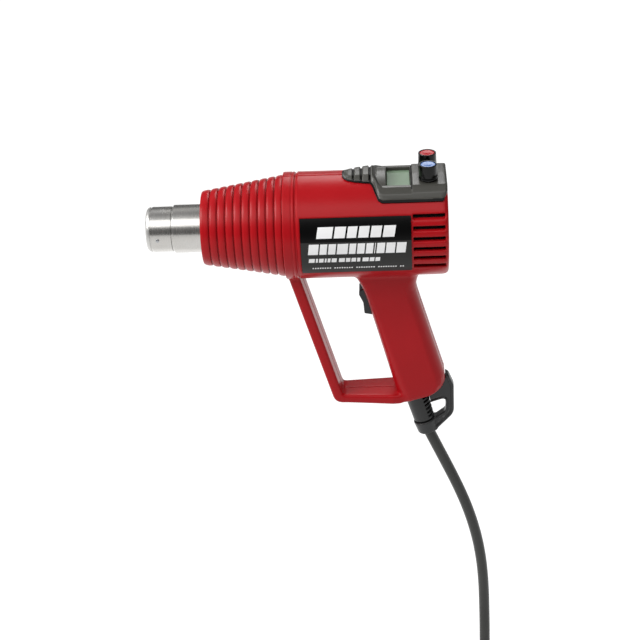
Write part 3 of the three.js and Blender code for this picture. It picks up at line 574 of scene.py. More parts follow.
def coil_points():
    """The coil's turns: three side by side, one more on top, then down and out at the left."""
    points = []

    def turn(start, end, radius, side, count):
        for i in range(count):
            t = (i + 1) / count
            a = math.radians(start + (end - start) * t)
            r = radius(t) if callable(radius) else radius
            y = side(t) if callable(side) else side
            points.append((COIL_X + r * math.cos(a), y, COIL_Z + r * math.sin(a)))

    def ease(low, high):
        return lambda t: low + (high - low) * t * t * (3 - 2 * t)

    turn(78, 90, INNER_TURN, -COIL_PITCH, 1)
    for side in (-COIL_PITCH, 0.0):
        turn(90, 330, INNER_TURN, side, 14)
        turn(330, 450, INNER_TURN, ease(side, side + COIL_PITCH), 8)
    turn(90, 250, INNER_TURN, COIL_PITCH, 10)
    turn(250, 330, ease(INNER_TURN, OUTER_TURN), COIL_PITCH, 6)
    turn(330, 450, OUTER_TURN, COIL_PITCH, 8)
    turn(90, 300, OUTER_TURN, COIL_PITCH, 14)
    turn(300, 450, OUTER_TURN, ease(COIL_PITCH, 0.0), 10)
    turn(90, 176, OUTER_TURN, 0.0, 7)
    return points


def cord_line():
    coil = [tuple(p) for p in to_row(coil_points())]
    tail_x = COIL_X - OUTER_TURN
    tail = [tuple(to_row((tail_x, 0.0, COIL_Z - d))) for d in (8, 20, 32, 44, 56)]
    end = [tuple(to_row((tail_x, 0.0, TAIL_END)))]
    return CORD_ROUTE + coil + tail + end


def wire(name, radius, resolution):
    """A round wire, still without its line; the radius is in metres."""
    data = bpy.data.curves.new(name, "CURVE")
    data.dimensions = "3D"
    data.bevel_depth = radius
    data.bevel_resolution = resolution
    data.use_fill_caps = True
    return data


def make_cord():
    line = cord_line()
    data = wire("supply_cord", CORD_R * 0.001, 7)
    data.resolution_u = 6
    spline = data.splines.new("BEZIER")
    spline.bezier_points.add(len(line) - 1)
    for point, place in zip(spline.bezier_points, line):
        point.co = place
        point.handle_left_type = point.handle_right_type = "AUTO"
    cord = new_object("supply_cord", data)
    finish_piece(cord, "cord_jacket", "cord_lead", "cord_coil", "cord_tail")
    return cord


cord = make_cord()


# ---- Housing ----
HANDLE_LEVELS = np.array([
    (-26, -26, 32, 17.6), (-16, -23.5, 32, 17.6), (-12, -22.6, 32, 17.6), (-8, -21.8, 31.5, 17.6),
    (-4, -21.1, 29.2, 17.4), (0, -20.7, 26.6, 17.3), (3, -20.5, 24.6, 17.3), (6, -20.3, 23.0, 17.3),
    (10, -20.3, 21.6, 17.3), (15, -20.3, 20.9, 17.3), (20, -20.3, 20.7, 17.3), (60, -20.8, 21.2, 17.5),
    (95, -21.4, 21.8, 17.6), (101, -21.4, 20.6, 17.4), (105.5, -21.2, 17.4, 17.0),
    (108, -21.0, 13.6, 16.3), (109.3, -20.6, 8.5, 15.4),
])
HANDLE_END = 109.3
GUARD = outline([
    (BODY_FRONT, -30, 0), (BODY_FRONT, -38.4, 0), (145.4, BAR_BOTTOM, 9), (176, BAR_BOTTOM - 0.6, 0),
    (200.0, BAR_BOTTOM - 1.2, 0), (209.0, BAR_BOTTOM + 1.2, 0), (209.0, BAR_TOP, 0), (152.0, BAR_TOP, 4),
    (118.2, -30, 0),
])
BODY_PROFILE = [
    (BODY_FRONT, -2), (BODY_FRONT, 42.5), (111.5, 42.9), (112.0, 43.1), (117.9, 43.1), (118.2, 42.75),
    (118.8, 42.75), (119.1, 43.0), (120.5, 43.0), (121.1, 42.0), (122.2, 42.0), (122.9, 43.1), (232, 42.7),
    (236.4, 42.6), (238.8, 42.2), (240.3, 41.4), (241.1, 40.4), (BODY_REAR, 39.4), (BODY_REAR, -2),
]


def level(column, along):
    return np.interp(along, HANDLE_LEVELS[:, 0], HANDLE_LEVELS[:, column]).astype(np.float32)


def ellipse_corner(du, dy, a, b):
    """Distance from a quarter ellipse of half axes a and b, for du and dy counted from its middle."""
    du, dy = np.maximum(du, 0) / a, np.maximum(dy, 0) / b
    g = np.sqrt(du * du + dy * dy) + 1e-6
    return g * (g - 1) / np.sqrt((du / a) ** 2 + (dy / b) ** 2 + 1e-9)


def handle_lines(f):
    """Places along the handle, counted down from its top, and across it."""
    dx, dz = f.x - HANDLE_TOP[0], f.z - HANDLE_TOP[1]
    along = dx * math.sin(LEAN) - dz * math.cos(LEAN)
    return along, dx * math.cos(LEAN) + dz * math.sin(LEAN)


def handle_field(f):
    along, across = handle_lines(f)
    front, rear, half = (level(i, along) for i in (1, 2, 3))
    nose = np.interp(along, [-20, 0, 60, 109], [6.4, 6.8, 9.8, 14.0]).astype(np.float32)
    tail = np.interp(along, [-20, 0, 20, 109], [15, 13, 12, 12]).astype(np.float32)
    y = np.abs(f.y)
    sides = y - half
    faces = slab(across, front, rear)
    at_front = ellipse_corner(front + nose - across, y - half + 11.0, nose, 11.45)
    at_rear = ellipse_corner(across - rear + tail, y - half + 13.1, tail, 13.8)
    section = both(both(sides, faces, 1.0), np.maximum(at_front, at_rear), 0.5)
    return both(section, slab(along, -26, HANDLE_END), 2.0)


def guard_field(f):
    """The strut and the lower bar ahead of the handle."""
    half = np.interp(f.x.ravel(), [0, 156, 194, 206, 300], [13.8, 13.8, 16.8, 15.2, 15.2]).astype(np.float32)
    return extruded(f.flat(GUARD), f.y, half[:, None, None], 2.4)


def rod_field(f, at, y0, y1, radius):
    return np.maximum(tube(f.x, f.z, at, radius), slab(f.y, y0, y1))


def relief_radius(f):
    """Distance from the strain relief's line, and the place along it."""
    along, across = handle_lines(f)
    return np.sqrt((across - RELIEF_OFFSET) ** 2 + f.y ** 2), along


def housing_near():
    """The near half's field, without its name plate pocket; the far half is its mirror image."""
    f = Field((BODY_FRONT - 1.2, -43.8, -163.2), (BODY_REAR + 1.2, 1.2, 44.4), (0.46, 0.52, 0.52))
    r = np.sqrt(f.y ** 2 + f.z ** 2)
    body = turned(BODY_PROFILE, f.x, r)
    outer = blend(blend(body, handle_field(f), 4.0), guard_field(f), 2.5)
    slats = np.maximum(slab(f.x, VENT_FRONT - 3, 245), slab(f.z, -26, 26))
    wall = WALL + 2.3 * np.clip(-slats / 1.5, 0, 1)
    shell = np.maximum(outer, -(outer + wall))
    shell = cut(shell, np.maximum(r - 30, f.x - BODY_FRONT - WALL - 0.4), 0.6)
    bosses = union(*[rod_field(f, (x, z), -seat - 2, 2, 5.0) for x, z, seat in SCREWS.values()])
    shell = blend(shell, np.maximum(bosses, outer + 0.3), 1.0)
    for i in range(VENT_COUNT):
        z = VENT_MIDDLE_Z + (i - (VENT_COUNT - 1) / 2) * VENT_PITCH
        slot = slab(f.z, z - VENT_HEIGHT / 2 + 0.3, z + VENT_HEIGHT / 2 - 0.3)
        flank = both(slot, slab(f.x, VENT_FRONT, VENT_REAR), 0.8)
        shell = cut(shell, np.maximum(flank, 22 + f.y), 1.5)
        back = both(slot, slab(f.y, -20, -2), 0.8)
        shell = cut(shell, np.maximum(back, BODY_REAR - 8 - f.x), 0.7)
    rocker_gap = both(slab(f.x, PIVOT[0] - 16, PIVOT[0] + 6), slab(f.z, -81.2, -52.4), 2.0)
    shell = cut(shell, both(rocker_gap, -f.y - ROCKER_HALF_Y - 0.5, 1.0), 0.8)
    well = np.maximum(slab(f.x, WELL[0], WELL[1]), -f.y - WELL[2])
    shell = cut(shell, np.maximum(well, WELL[3] - f.z))
    notch = np.maximum(REAR_NOTCH[0] - GAP - f.x, -f.y - REAR_NOTCH[1] - GAP)
    shell = cut(shell, np.maximum(notch, REAR_NOTCH[2] - GAP - f.z))
    around, along = relief_radius(f)
    shell = cut(shell, np.maximum(around - 8.5, slab(along, 98, 114)), 0.8)
    shell = cut(shell, rod_field(f, PIVOT, -14, 14, 1.8))
    seam = np.interp(f.z, [-130, -60], [0.35, 0.9]).astype(np.float32)
    return f, r, both(shell, f.y + GAP / 2, seam)


def housing():
    f, r, shell = housing_near()
    angle = np.degrees(np.arctan2(f.z, -f.y))
    pocket = np.maximum(slab(f.x, LABEL_X0 - GAP, LABEL_X1 + GAP), BODY_R - 0.5 - r)
    pocket = np.maximum(pocket, slab(angle, LABEL_DOWN - 0.4, LABEL_UP + 0.4) * 0.75)
    near = cut(shell, pocket)
    for x, z, _ in SCREWS.values():
        near = cut(near, rod_field(f, (x, z), -9 - GAP, 9, 1.8))
    skin(f, "left_shell", near, "red_housing", 0.02)
    far = shell
    for x, z, seat in SCREWS.values():
        far = cut(far, rod_field(f, (x, z), -60, GAP - seat, 3.5), 0.7)
        far = cut(far, rod_field(f, (x, z), -seat, 9, 1.8))
    skin(f, "right_shell", far, "red_housing", 0.02, lambda p: p * (1, -1, 1))


housing()


def smooth_screw():
    """One pan head screw about Y, its seat at y = 0."""
    f = Field((-3.7, -26, -3.7), (3.7, 2.7, 3.7), 0.16)
    r = np.sqrt(f.x ** 2 + f.z ** 2)
    dome = np.sqrt(f.x ** 2 + f.z ** 2 + (f.y + 2.6) ** 2) - 4.8
    head = both(both(r - 3.2, slab(f.y, 0, 2.2), 0.5), dome, 0.4)
    thread = 0.12 * np.sin(2 * math.pi * (f.y / 0.9) + np.arctan2(f.z, f.x))
    shank = np.maximum(r - 1.4 - thread, slab(f.y, -25, 1))
    u, v = np.abs(f.x), np.abs(f.z)
    arm_half, arm_reach, recess_floor = 0.45, 1.9, 0.9
    arm_x = np.maximum(u - arm_half, v - arm_reach)
    arm_z = np.maximum(v - arm_half, u - arm_reach)
    return f, union(head, shank), np.maximum(np.minimum(arm_x, arm_z), recess_floor - f.y)


def make_screws():
    f, screw, recess = smooth_screw()
    for name, (x, z, seat) in SCREWS.items():
        end = np.maximum(screw, -9 - seat - f.y)
        obj = f.object(name + "_steel", cut(end, recess, 0.2), 0.02, lambda p: p + (x, seat, z))
        finish_piece(obj, "screw_steel", name)


make_screws()


# ---- Ribbed nose cone ----
def nose_cone():
    pitch = (CONE_REAR - CONE_FRONT) / RIB_COUNT
    slope = (CONE_REAR_R - CONE_FRONT_R) / (CONE_REAR - CONE_FRONT)
    profile = [(CONE_FRONT, 21.4)]
    groove = 1.0
    for i in range(RIB_COUNT):
        x0 = CONE_FRONT + i * pitch
        start = x0 + (0 if i == 0 else groove)
        end = x0 + pitch - groove * 0.15
        for t in np.linspace(0, 1, 15):
            x = start + (end - start) * t
            crown = 1 - abs(2 * t - 1) ** 3.0
            profile.append((x, CONE_FRONT_R + slope * (x - CONE_FRONT) - 0.1 - 0.62 * (1 - crown)))
        floor = CONE_FRONT_R + slope * (x0 + pitch - CONE_FRONT) - 2.1
        if i < RIB_COUNT - 1:
            profile += [(end + 0.1, floor + 0.3), (end + 0.3, floor)]
            profile += [(end + 0.8, floor), (end + 1.02, floor + 0.3)]
    profile += [(CONE_REAR, CONE_REAR_R - 2.0), (CONE_REAR, 35.4)]
    profile += [(CONE_FRONT + 3, 25.6), (CONE_FRONT + 3, 21.4)]
    turned_skin("nose_cone", profile, 176, "red_housing", edge=50)


nose_cone()


# ---- Outlet and heater ----
def outlet_sleeve():
    rim, lip, inner, groove = 3.3, SLEEVE_R - 0.3, SLEEVE_R - 0.9, SLEEVE_R - 0.85
    profile = [
        (30.0, lip - 0.1), (STEP_X - 0.5, lip - 0.2), (STEP_X - 1.2, lip - 0.2), (STEP_X - 1.5, SLEEVE_R),
        (rim + 1.5, SLEEVE_R), (rim + 1.2, groove), (rim + 0.3, groove),
        *arc(rim, lip - rim, rim, 90, 196, 14), (0.5, 13.6), (1.3, 13.4),
        *arc(rim, lip - rim, rim - 0.9, 190, 90, 10), (rim + 1.6, lip - 0.9), (rim + 2.2, inner),
        (30.0, inner),
    ]
    steels = ["polished_steel", "satin_steel"]
    obj = turned_skin("outlet_sleeve", profile, 144, steels[0], edge=28, materials=steels)
    edge = to_row((rim + 0.3, 0, 0))[0]
    for polygon in obj.data.polygons:
        polygon.material_index = int(polygon.center.x < edge)


def heater_barrel():
    inner, edge = SLEEVE_R + GAP, 0.5
    profile = [
        (STEP_X, inner), (STEP_X, BARREL_R - 0.55), *arc(STEP_X + edge, BARREL_R - edge, edge, 180, 90, 5),
        (BARREL_REAR, BARREL_R), (BARREL_REAR, inner),
    ]
    turned_skin("heater_barrel", profile, 144, "polished_steel", edge=40)


def sleeve_rivet():
    profile = [
        (-19.15, 0), (-19.12, 0.6), (-19.0, 1.1), (-18.7, 1.45), (-18.5, 1.45), (-18.5, 1.0), (-17.1, 1.0),
        (-17.1, 1.6), (-16.1, 1.6), (-16.1, 0),
    ]

    def place(p):
        return np.stack([p[:, 1] + 9.6, p[:, 0], p[:, 2] - 1.8], 1)

    turned_skin("sleeve_rivet", profile, 32, "plated_steel", place)


def mica_tube():
    profile = [(31, 16.7), (31, 17.3), (112, 17.3), (112, 16.7)]
    turned_skin("mica_tube", profile, 96, "mica")


outlet_sleeve()
heater_barrel()
sleeve_rivet()
mica_tube()


def heating_coil():
    """Resistance wire wound round the ceramic former."""
    turns, steps = 22, 22 * 16
    front, length, radius = 39, 64, 12.2
    data = wire("heating_wire", 0.0005, 3)
    spline = data.splines.new("POLY")
    spline.points.add(steps)
    for i, point in enumerate(spline.points):
        a = 2 * math.pi * turns * i / steps
        point.co = (*to_row((front + length * i / steps, radius * math.cos(a), radius * math.sin(a))), 1)
    finish_piece(new_object("heating_wire", data), "resistance_wire", "heating_coil")


heating_coil()

# ---- Control panel ----
# Size of the black strip under the panel's rim, which is a painted shadow line.
SHADOW_STRIP_TOP, SHADOW_STRIP_WIDTH, SHADOW_STRIP_REAR = 0.5, 1.35, 238.6
# The walls of these grooves are painted black: painted shade.
RIDGE_GROOVES = (166.9, 168.1), (173.3, 174.5), (180.0, 181.3)
PLATE_GROOVE = (PLATE_FRONT - 0.95, PLATE_FRONT - 0.05)
# Sections across the panel: x, top, half width of the top, half width of the skirt, skirt's height.
PANEL_SECTIONS = np.array([
    (159.9, 43.5, 3.0, 5.0, 40), (161.0, 44.4, 5.4, 8.0, 39), (163.4, 45.0, 7.2, 10.4, 38),
    (166.6, 45.3, 8.0, 11.4, 38), (167.1, 44.2, 6.6, 10.2, 38), (167.9, 44.2, 6.8, 10.4, 38),
    (168.4, 45.6, 8.4, 12.2, 38), (172.9, 46.0, 8.9, 12.7, 37), (173.5, 44.8, 7.6, 11.6, 37),
    (174.3, 44.8, 7.8, 11.8, 37), (174.9, 46.2, 9.3, 13.3, 36), (179.6, 46.5, 9.8, 13.9, 36),
    (180.2, 45.3, 8.6, 12.8, 36), (181.0, 45.3, 8.8, 13.0, 36), (181.6, 46.4, 10.0, 14.4, 36),
    (183.4, 45.4, 12.6, 17.6, 34), (185.4, 43.6, 17.6, 23.6, 32), (187.6, 41.6, 21.2, 28.6, 30),
    (190.2, BEZEL_TOP, 23.2, 29.8, 29.3), (213.2, BEZEL_TOP, 23.2, 29.8, 29.3),
    (PLATE_FRONT, PLATE_TOP, 22.3, 29.8, 29.3), (236.6, PLATE_TOP, 22.3, 29.6, 29.4),
    (239.6, PLATE_TOP, 22.2, 28.4, 30), (241.2, PLATE_TOP - 0.5, 21.8, 25.4, 30.5),
])


def softened(table, step, sigma):
    """A table blurred along both axes by a Gaussian of width sigma."""
    reach = max(1, int(round(3 * sigma / step)))
    kernel = np.exp(-0.5 * (np.arange(-reach, reach + 1) * step / sigma) ** 2)
    kernel /= kernel.sum()
    for axis in (0, 1):
        padded = np.pad(table, [(reach, reach) if i == axis else (0, 0) for i in (0, 1)], mode="edge")
        table = sum(w * np.take(padded, range(i, i + table.shape[axis]), axis) for i, w in enumerate(kernel))
    return table


def panel_top(x, y):
    """Height of the panel's surface over the plan grid."""
    top, half, skirt, low = (np.interp(x, PANEL_SECTIONS[:, 0], PANEL_SECTIONS[:, i]) for i in (1, 2, 3, 4))
    # The plate is a shallow roof, a little higher along its middle.
    crest = np.interp(x, (PLATE_FRONT - 0.4, PLATE_FRONT), (0.05, 0.45))
    out = np.empty((len(x), len(y)))
    for i, (t, h, s, w, c) in enumerate(zip(top, half, skirt, low, crest)):
        lip = min(w + 3, t - 2)
        ring_y = [0, h * 0.6, h * 0.94, h + 0.35, (h + s) / 2 + 1.0, s, s + 9]
        ring_z = [t + c, t, t - 0.3, t - 1.2, (t + w) / 2 + 1.6, lip, lip - 8]
        out[i] = np.interp(np.abs(y), ring_y, ring_z)
    return out


def panel_outer(f, x, y):
    """The panel's outer surface, its slope evened out so that it measures as a distance."""
    height = panel_top(x, y)
    # Ahead of the window the panel climbs over the body's crown.
    climb = np.clip((x - 183.0) / 2.6, 0, 1) * np.clip((WINDOW[0] - x) / 0.3 + 0.5, 0, 1)
    crown = np.sqrt(BODY_R ** 2 - y ** 2)[None, :] + 1.6 - 8 * (1 - climb[:, None])
    height = softened(np.maximum(height, crown), 0.3, 0.28)
    gx, gy = np.gradient(height, 0.3)
    steep = np.sqrt(1 + gx * gx + gy * gy)
    return ((f.z - height[:, :, None]) / steep[:, :, None]).astype(np.float32)


def paint_panel_shade(obj):
    """Paints the strip under the rim and the walls of the grooves black: painted shadow and painted shade."""
    for polygon in obj.data.polygons:
        px, py, pz = np.array(polygon.center) * 1000 + GRIP
        skirt = np.interp(px, PANEL_SECTIONS[:, 0], PANEL_SECTIONS[:, 3])
        beyond = abs(py) > skirt - 0.25 or px < PANEL_SECTIONS[0, 0]
        # Polygons of the strip under the rim are painted black: painted shadow.
        dark = beyond and math.hypot(py, pz) < BODY_R + GAP + SHADOW_STRIP_TOP + 0.1
        # The walls of the grooves between the ridges are painted black: painted shade.
        dark = dark or any(start < px < end for start, end in RIDGE_GROOVES)
        # The groove ahead of the plate is painted black as well: painted shade.
        in_groove = PLATE_GROOVE[0] - 0.1 < px < PLATE_GROOVE[1]
        dark = dark or in_groove and BEZEL_TOP - 1.3 < pz < BEZEL_TOP - 0.1
        polygon.material_index = int(dark)


def control_panel():
    f = Field((157.2, -32.8, 24.6), (242.4, 32.8, 47.6), 0.32)
    x, y = f.x.ravel().astype(float), f.y.ravel().astype(float)
    rim = [(u, v) for u, _, _, v, _ in PANEL_SECTIONS]
    plan = flat_distance(np.array(rim + [(u, -v) for u, v in rim[::-1]]), x, y)[:, :, None]
    outer = both(panel_outer(f, x, y), plan, 0.8)
    seat = np.sqrt(f.y ** 2 + f.z ** 2) - BODY_R - GAP
    side = np.abs(f.y)
    insert = np.maximum(slab(f.x, WELL[0] + GAP, WELL[1] - GAP), side - WELL[2] + GAP)
    insert = np.maximum(insert, 34.2 - f.z)
    notch = np.maximum(REAR_NOTCH[0] - f.x, np.maximum(side - REAR_NOTCH[1], REAR_NOTCH[2] - f.z))
    # A thin strip under the panel's rim, painted black, is a painted shadow line round the panel's rim.
    shadow_strip = both(both(seat - SHADOW_STRIP_TOP, plan - SHADOW_STRIP_WIDTH, 0.3), f.x - SHADOW_STRIP_REAR, 0.3)
    shape = union(cut(outer, seat, 0.5), cut(np.maximum(shadow_strip, -1.0 - plan), seat))
    shape = union(shape, np.maximum(outer, union(insert, notch)))
    x0, x1, half, floor = WINDOW
    inside_rear = WELL[1] - 2.2
    room = np.maximum(slab(f.x, x0 - 0.4, inside_rear), np.maximum(side - half + 1.6, f.z - floor + 0.9))
    dials = np.maximum(slab(f.x, PLATE_FRONT + 1.4, inside_rear), side - WELL[2] + 1.5)
    shape = cut(cut(shape, room), np.maximum(dials, f.z - PLATE_TOP + 2))
    lens = both(slab(f.x, x0, x1), side - half + 0.4, 0.9)
    shape = cut(shape, np.maximum(lens, floor - 1.5 - f.z), 0.6)
    for side_y in (-DIAL_Y, DIAL_Y):
        hole = tube(f.x, f.y, (DIAL_X, side_y), 3.6)
        shape = cut(shape, np.maximum(hole, 30 - f.z), 0.5)
    shape = cut(shape, np.maximum(slab(f.x, *PLATE_GROOVE), BEZEL_TOP - 1.2 - f.z))
    # The second material paints the strip under the rim and the grooves black: painted shadow and painted
    # shade.
    paint_panel_shade(skin(f, "control_panel", shape, "grey_panel", materials=["grey_panel", "label_film"]))


control_panel()


def display():
    x0, x1, half, floor = WINDOW
    f = Field((x0 - 0.5, -half - 0.5, floor - 1.8), (x1 + 0.5, half + 0.5, floor + 0.6), 0.2)
    plan = both(slab(f.x, x0 + GAP, x1 - GAP), np.abs(f.y) - half + 0.4 + GAP, 1.2)
    lens = both(plan, slab(f.z, floor - 1.1, floor), 0.3)
    skin(f, "display_lens", lens, "clear_lens", 0.02)


display()


def dial(name, side, cap_slot):
    def place(p):
        return np.stack([DIAL_X + p[:, 1], side * DIAL_Y + p[:, 2], p[:, 0]], 1)

    r, top = DIAL_R, DIAL_TOP
    knob = [
        (34, 0), (34, 3.0), (42.2, 3.0), *arc(42.6, r - 0.05, 0.4, 180, 90, 4), (44.0, r + 0.35),
        (44.4, r + 0.05), (44.8, r + 0.02), (45.2, r + 0.14), (top - 0.7, r - 0.08),
        *arc(top - 0.6, r - 0.68, 0.6, 90, 0, 6),
        (top - 0.1, r - 1.05), (top - 1.2, r - 1.15), (top - 1.2, 0),
    ]
    turned_skin(f"{name}_knob", knob, 96, "gloss_black", place, 60, body=f"{name}_dial")
    cap_r = r - 1.35
    cap = [
        (top - 0.95, 0), (top - 0.95, cap_r), (top - 0.62, cap_r), (top - 0.4, cap_r - 0.25),
        (top - 0.34, cap_r - 0.8), (top - 0.5, cap_r * 0.55), (top - 0.56, 0),
    ]
    turned_skin(f"{name}_cap", cap, 96, cap_slot, place, 70, body=f"{name}_dial")


dial("temperature", 1, "red_cap")
dial("airflow", -1, "blue_cap")


# ---- Name plate ----
def on_flank(x, degrees_up, r):
    a = math.radians(degrees_up)
    return (x, -r * math.cos(a), r * math.sin(a))


def patch(points, faces, corners, r0, r1, steps):
    """Adds a closed four-cornered tile, curved round the body; each corner is (x, degrees up)."""
    (ax, aa), (bx, ba), (cx, ca), (dx, da) = corners
    base = len(points)
    for r in (r1, r0):
        for i in range(steps + 1):
            t = i / steps
            points.append(on_flank(ax + (dx - ax) * t, aa + (da - aa) * t, r))
            points.append(on_flank(bx + (cx - bx) * t, ba + (ca - ba) * t, r))

    def at(layer, i, j):
        return base + 2 * (layer * (steps + 1) + i) + j

    for i in range(steps):
        faces.append((at(0, i, 0), at(0, i, 1), at(0, i + 1, 1), at(0, i + 1, 0)))
        faces.append((at(1, i, 0), at(1, i + 1, 0), at(1, i + 1, 1), at(1, i, 1)))
        for j in (0, 1):
            faces.append((at(0, i, j), at(0, i + 1, j), at(1, i + 1, j), at(1, i, j)))
    for i in (0, steps):
        faces.append((at(0, i, 0), at(0, i, 1), at(1, i, 1), at(1, i, 0)))


def name_plate():
    """The plate's film: black above, grey below."""
    points, faces = [], []
    shade_edge = 5.3
    upper = [(LABEL_X0, LABEL_UP), (LABEL_X1, LABEL_UP)]
    lower = [(LABEL_X1, LABEL_DOWN), (LABEL_X0, LABEL_DOWN)]
    patch(points, faces, upper + lower, LABEL_R - 0.5, LABEL_R, 96)
    obj = sharpen(mesh_object("name_plate_film", points, faces), 40)
    finish_piece(obj, "label_film", "name_plate", materials=["label_film", "label_grey"])
    axis = Vector(to_row((0, 0, 0)))
    for polygon in obj.data.polygons:
        centre = polygon.center - axis
        up = math.degrees(math.atan2(centre.z, -centre.y))
        polygon.material_index = int(up <= shade_edge)


def name_plate_print():
    """A generic pattern in four rows: large slanted blocks, smaller ones, short bars and fine dashes."""
    points, faces = [], []
    r0, r1 = LABEL_R + 0.03, LABEL_R + 0.13

    def tile(x0, x1, up, down, lean=0.0):
        patch(points, faces, [(x0 + lean, up), (x1 + lean, up), (x1, down), (x0, down)], r0, r1, 4)

    # Each row: first x, space between blocks, upper and lower angle, lean, and the blocks' widths.
    rows = (
        (137.6, 1.5, 21.6, 9.6, 1.6, (12.2, 8.6, 7.4, 8.0, 8.2, 9.2)),
        (130.6, 1.1, 3.4, -8.6, 1.2, (7.8, 5.6, 5.8, 8.4, 5.2, 5.8, 5.6, 0.6, 6.2, 7.0, 7.4)),
        (130.8, 0.9, -13.8, -19.0, 0.5,
         (4.6, 1.6, 3.6, 1.4, 2.2, 4.0, 0, 4.6, 3.4, 3.6, 2.4, 0, 4.8, 3.6, 3.6)),
    )
    for x, space, up, down, lean, widths in rows:
        for width in widths:
            if width:
                tile(x, x + width, up, down, lean)
            x += width + space
    dash_start, dash_pitch, dash = 133.4, 1.92, 1.1
    for i in range(38):
        if i % 9 != 8:
            x = dash_start + i * dash_pitch
            tile(x, x + dash, -27.4, -29.2, 0.2)
    obj = sharpen(mesh_object("name_plate_print", points, faces), 40)
    finish_piece(obj, "label_film", materials=["label_print"])


name_plate()
name_plate_print()


# ---- Rocker ----
def rocker():
    shape = outline([
        (173.8, -54.2, 1.2), (168.7, -57.6, 2.0), (168.6, -61.4, 2.4), (171.8, -68.4, 7), (172.5, -78.3, 1.2),
        (178.6, -79.6, 0), (184.8, -72.6, 1.5), (184.8, -60.4, 1.5), (178.6, -53.4, 0),
    ])
    f = Field((167.4, -8.8, -81.0), (186.8, 8.8, -51.4), 0.22)
    body = extruded(f.flat(shape), f.y, ROCKER_HALF_Y, 1.1)
    dish = tube(f.x, f.z, (148.5, -71.5), 22.4)
    body = cut(body, np.maximum(dish, np.abs(f.y) - 5.6), 0.6)
    obj = f.object("rocker_skin", cut(body, tube(f.x, f.z, PIVOT, 1.55)), 0.01)
    finish_piece(obj, "satin_black", "rocker_trigger", body="rocker")


rocker()


# ---- Strain relief and hanging loop ----
def relief_frame(p):
    """Points with x along the handle's line, moved into the barrel frame."""
    along, across, y = p[:, 0], p[:, 1] + RELIEF_OFFSET, p[:, 2]
    return np.stack([
        HANDLE_TOP[0] + along * math.sin(LEAN) + across * math.cos(LEAN),
        y,
        HANDLE_TOP[1] - along * math.cos(LEAN) + across * math.sin(LEAN),
    ], 1)


def strain_relief():
    f = Field((93.2, -11.0, -11.0), (150.4, 11.0, 11.0), 0.24)
    r = np.sqrt(f.y ** 2 + f.z ** 2)
    core = [
        (94, -1), (94, 8.1), (96, 8.1), (96, 9.6), (99, 9.6), (99, 8.1), (109.6, 8.1), (109.6, 9.7),
        (135.4, 8.9), (135.4, 6.6), (149.4, 6.2), (149.4, -1),
    ]
    shape = turned(core, f.x, r, 0.1)
    for i in range(6):
        x0 = 112.4 + 3.7 * i
        teeth = both(slab(f.x, x0 + 0.4, x0 + 2.3), 4.6 - f.y, 0.4)
        shape = cut(shape, np.maximum(teeth, 7.0 - r), 0.4)
    collar = both(slab(f.x, 109.6, 112.2), r - 10.2, 0.8)
    shape = blend(shape, collar, 0.5)
    bore = np.maximum(r - 4.9, 100 - f.x)
    shape = cut(shape, bore, 0.5)
    skin(f, "strain_relief", shape, "relief_rubber", place=relief_frame)


strain_relief()


def hanging_loop():
    outer = outline([
        (208, -158, 0), (222, -130, 0), (241.0, -140.6, 5), (245.2, -150.9, 6), (245.2, -177.6, 12),
        (229.6, -194.2, 4), (218.4, -190.4, 0),
    ])
    hole = outline([(224.5, -167.2, 0), (238.3, -162.6, 3), (238.3, -175.2, 5), (226.6, -184.2, 0)])
    f = Field((205.5, -11.4, -196.4), (246.6, 11.4, -128.6), 0.3)
    flat, gap = f.flat(outer), f.flat(hole)
    strap = extruded(flat, f.y, 3.9, 1.0)
    rim = both(np.abs(flat + 1.3) - 1.3, np.abs(f.y) - 5.0, 1.5)
    lip = both(np.abs(gap - 0.9) - 0.9, np.abs(f.y) - 4.7, 0.8)
    strap = blend(blend(strap, rim, 0.8), lip, 0.8)
    strap = cut(strap, gap, 0.8)
    strap = cut(strap, handle_field(f) - GAP, 0.5)
    around, along = relief_radius(f)
    strap = cut(strap, np.maximum(around - 10.7, along - 136.7))
    taper = 9.8 - (along - 136.9) * (1.2 / 11.7)
    collar = both(around - taper, slab(along, 136.9, 148.6), 1.4)
    shape = blend(strap, collar, 2.0)
    shape = cut(shape, around - 7.0, 0.6)
    shape = cut(shape, np.maximum(around - 10.7, along - 136.7))
    skin(f, "hanging_loop", shape, "loop_nylon")


hanging_loop()


# ---- Coil tie and plug ----
def node_field(node, margin, step):
    """A field round a CAD node's box, with the box's low and high corners."""
    low, high = (np.array(corner) * 1000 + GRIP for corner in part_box(node))
    return Field(low - margin, high + margin, step), low, high


def coil_tie():
    f, (x0, y0, z0), (x1, y1, z1) = node_field("coil_tie", 0.8, 0.3)
    thick = 1.4
    outer = both(slab(f.x, x0, x1), slab(f.y, y0, y1), 4.0)
    inner = both(slab(f.x, x0 + thick, x1 - thick), slab(f.y, y0 + thick, y1 - thick), 3.0)
    strap = both(cut(outer, inner), slab(f.z, z0, z1), 0.8)
    skin(f, "coil_tie", strap, "tie_rubber")


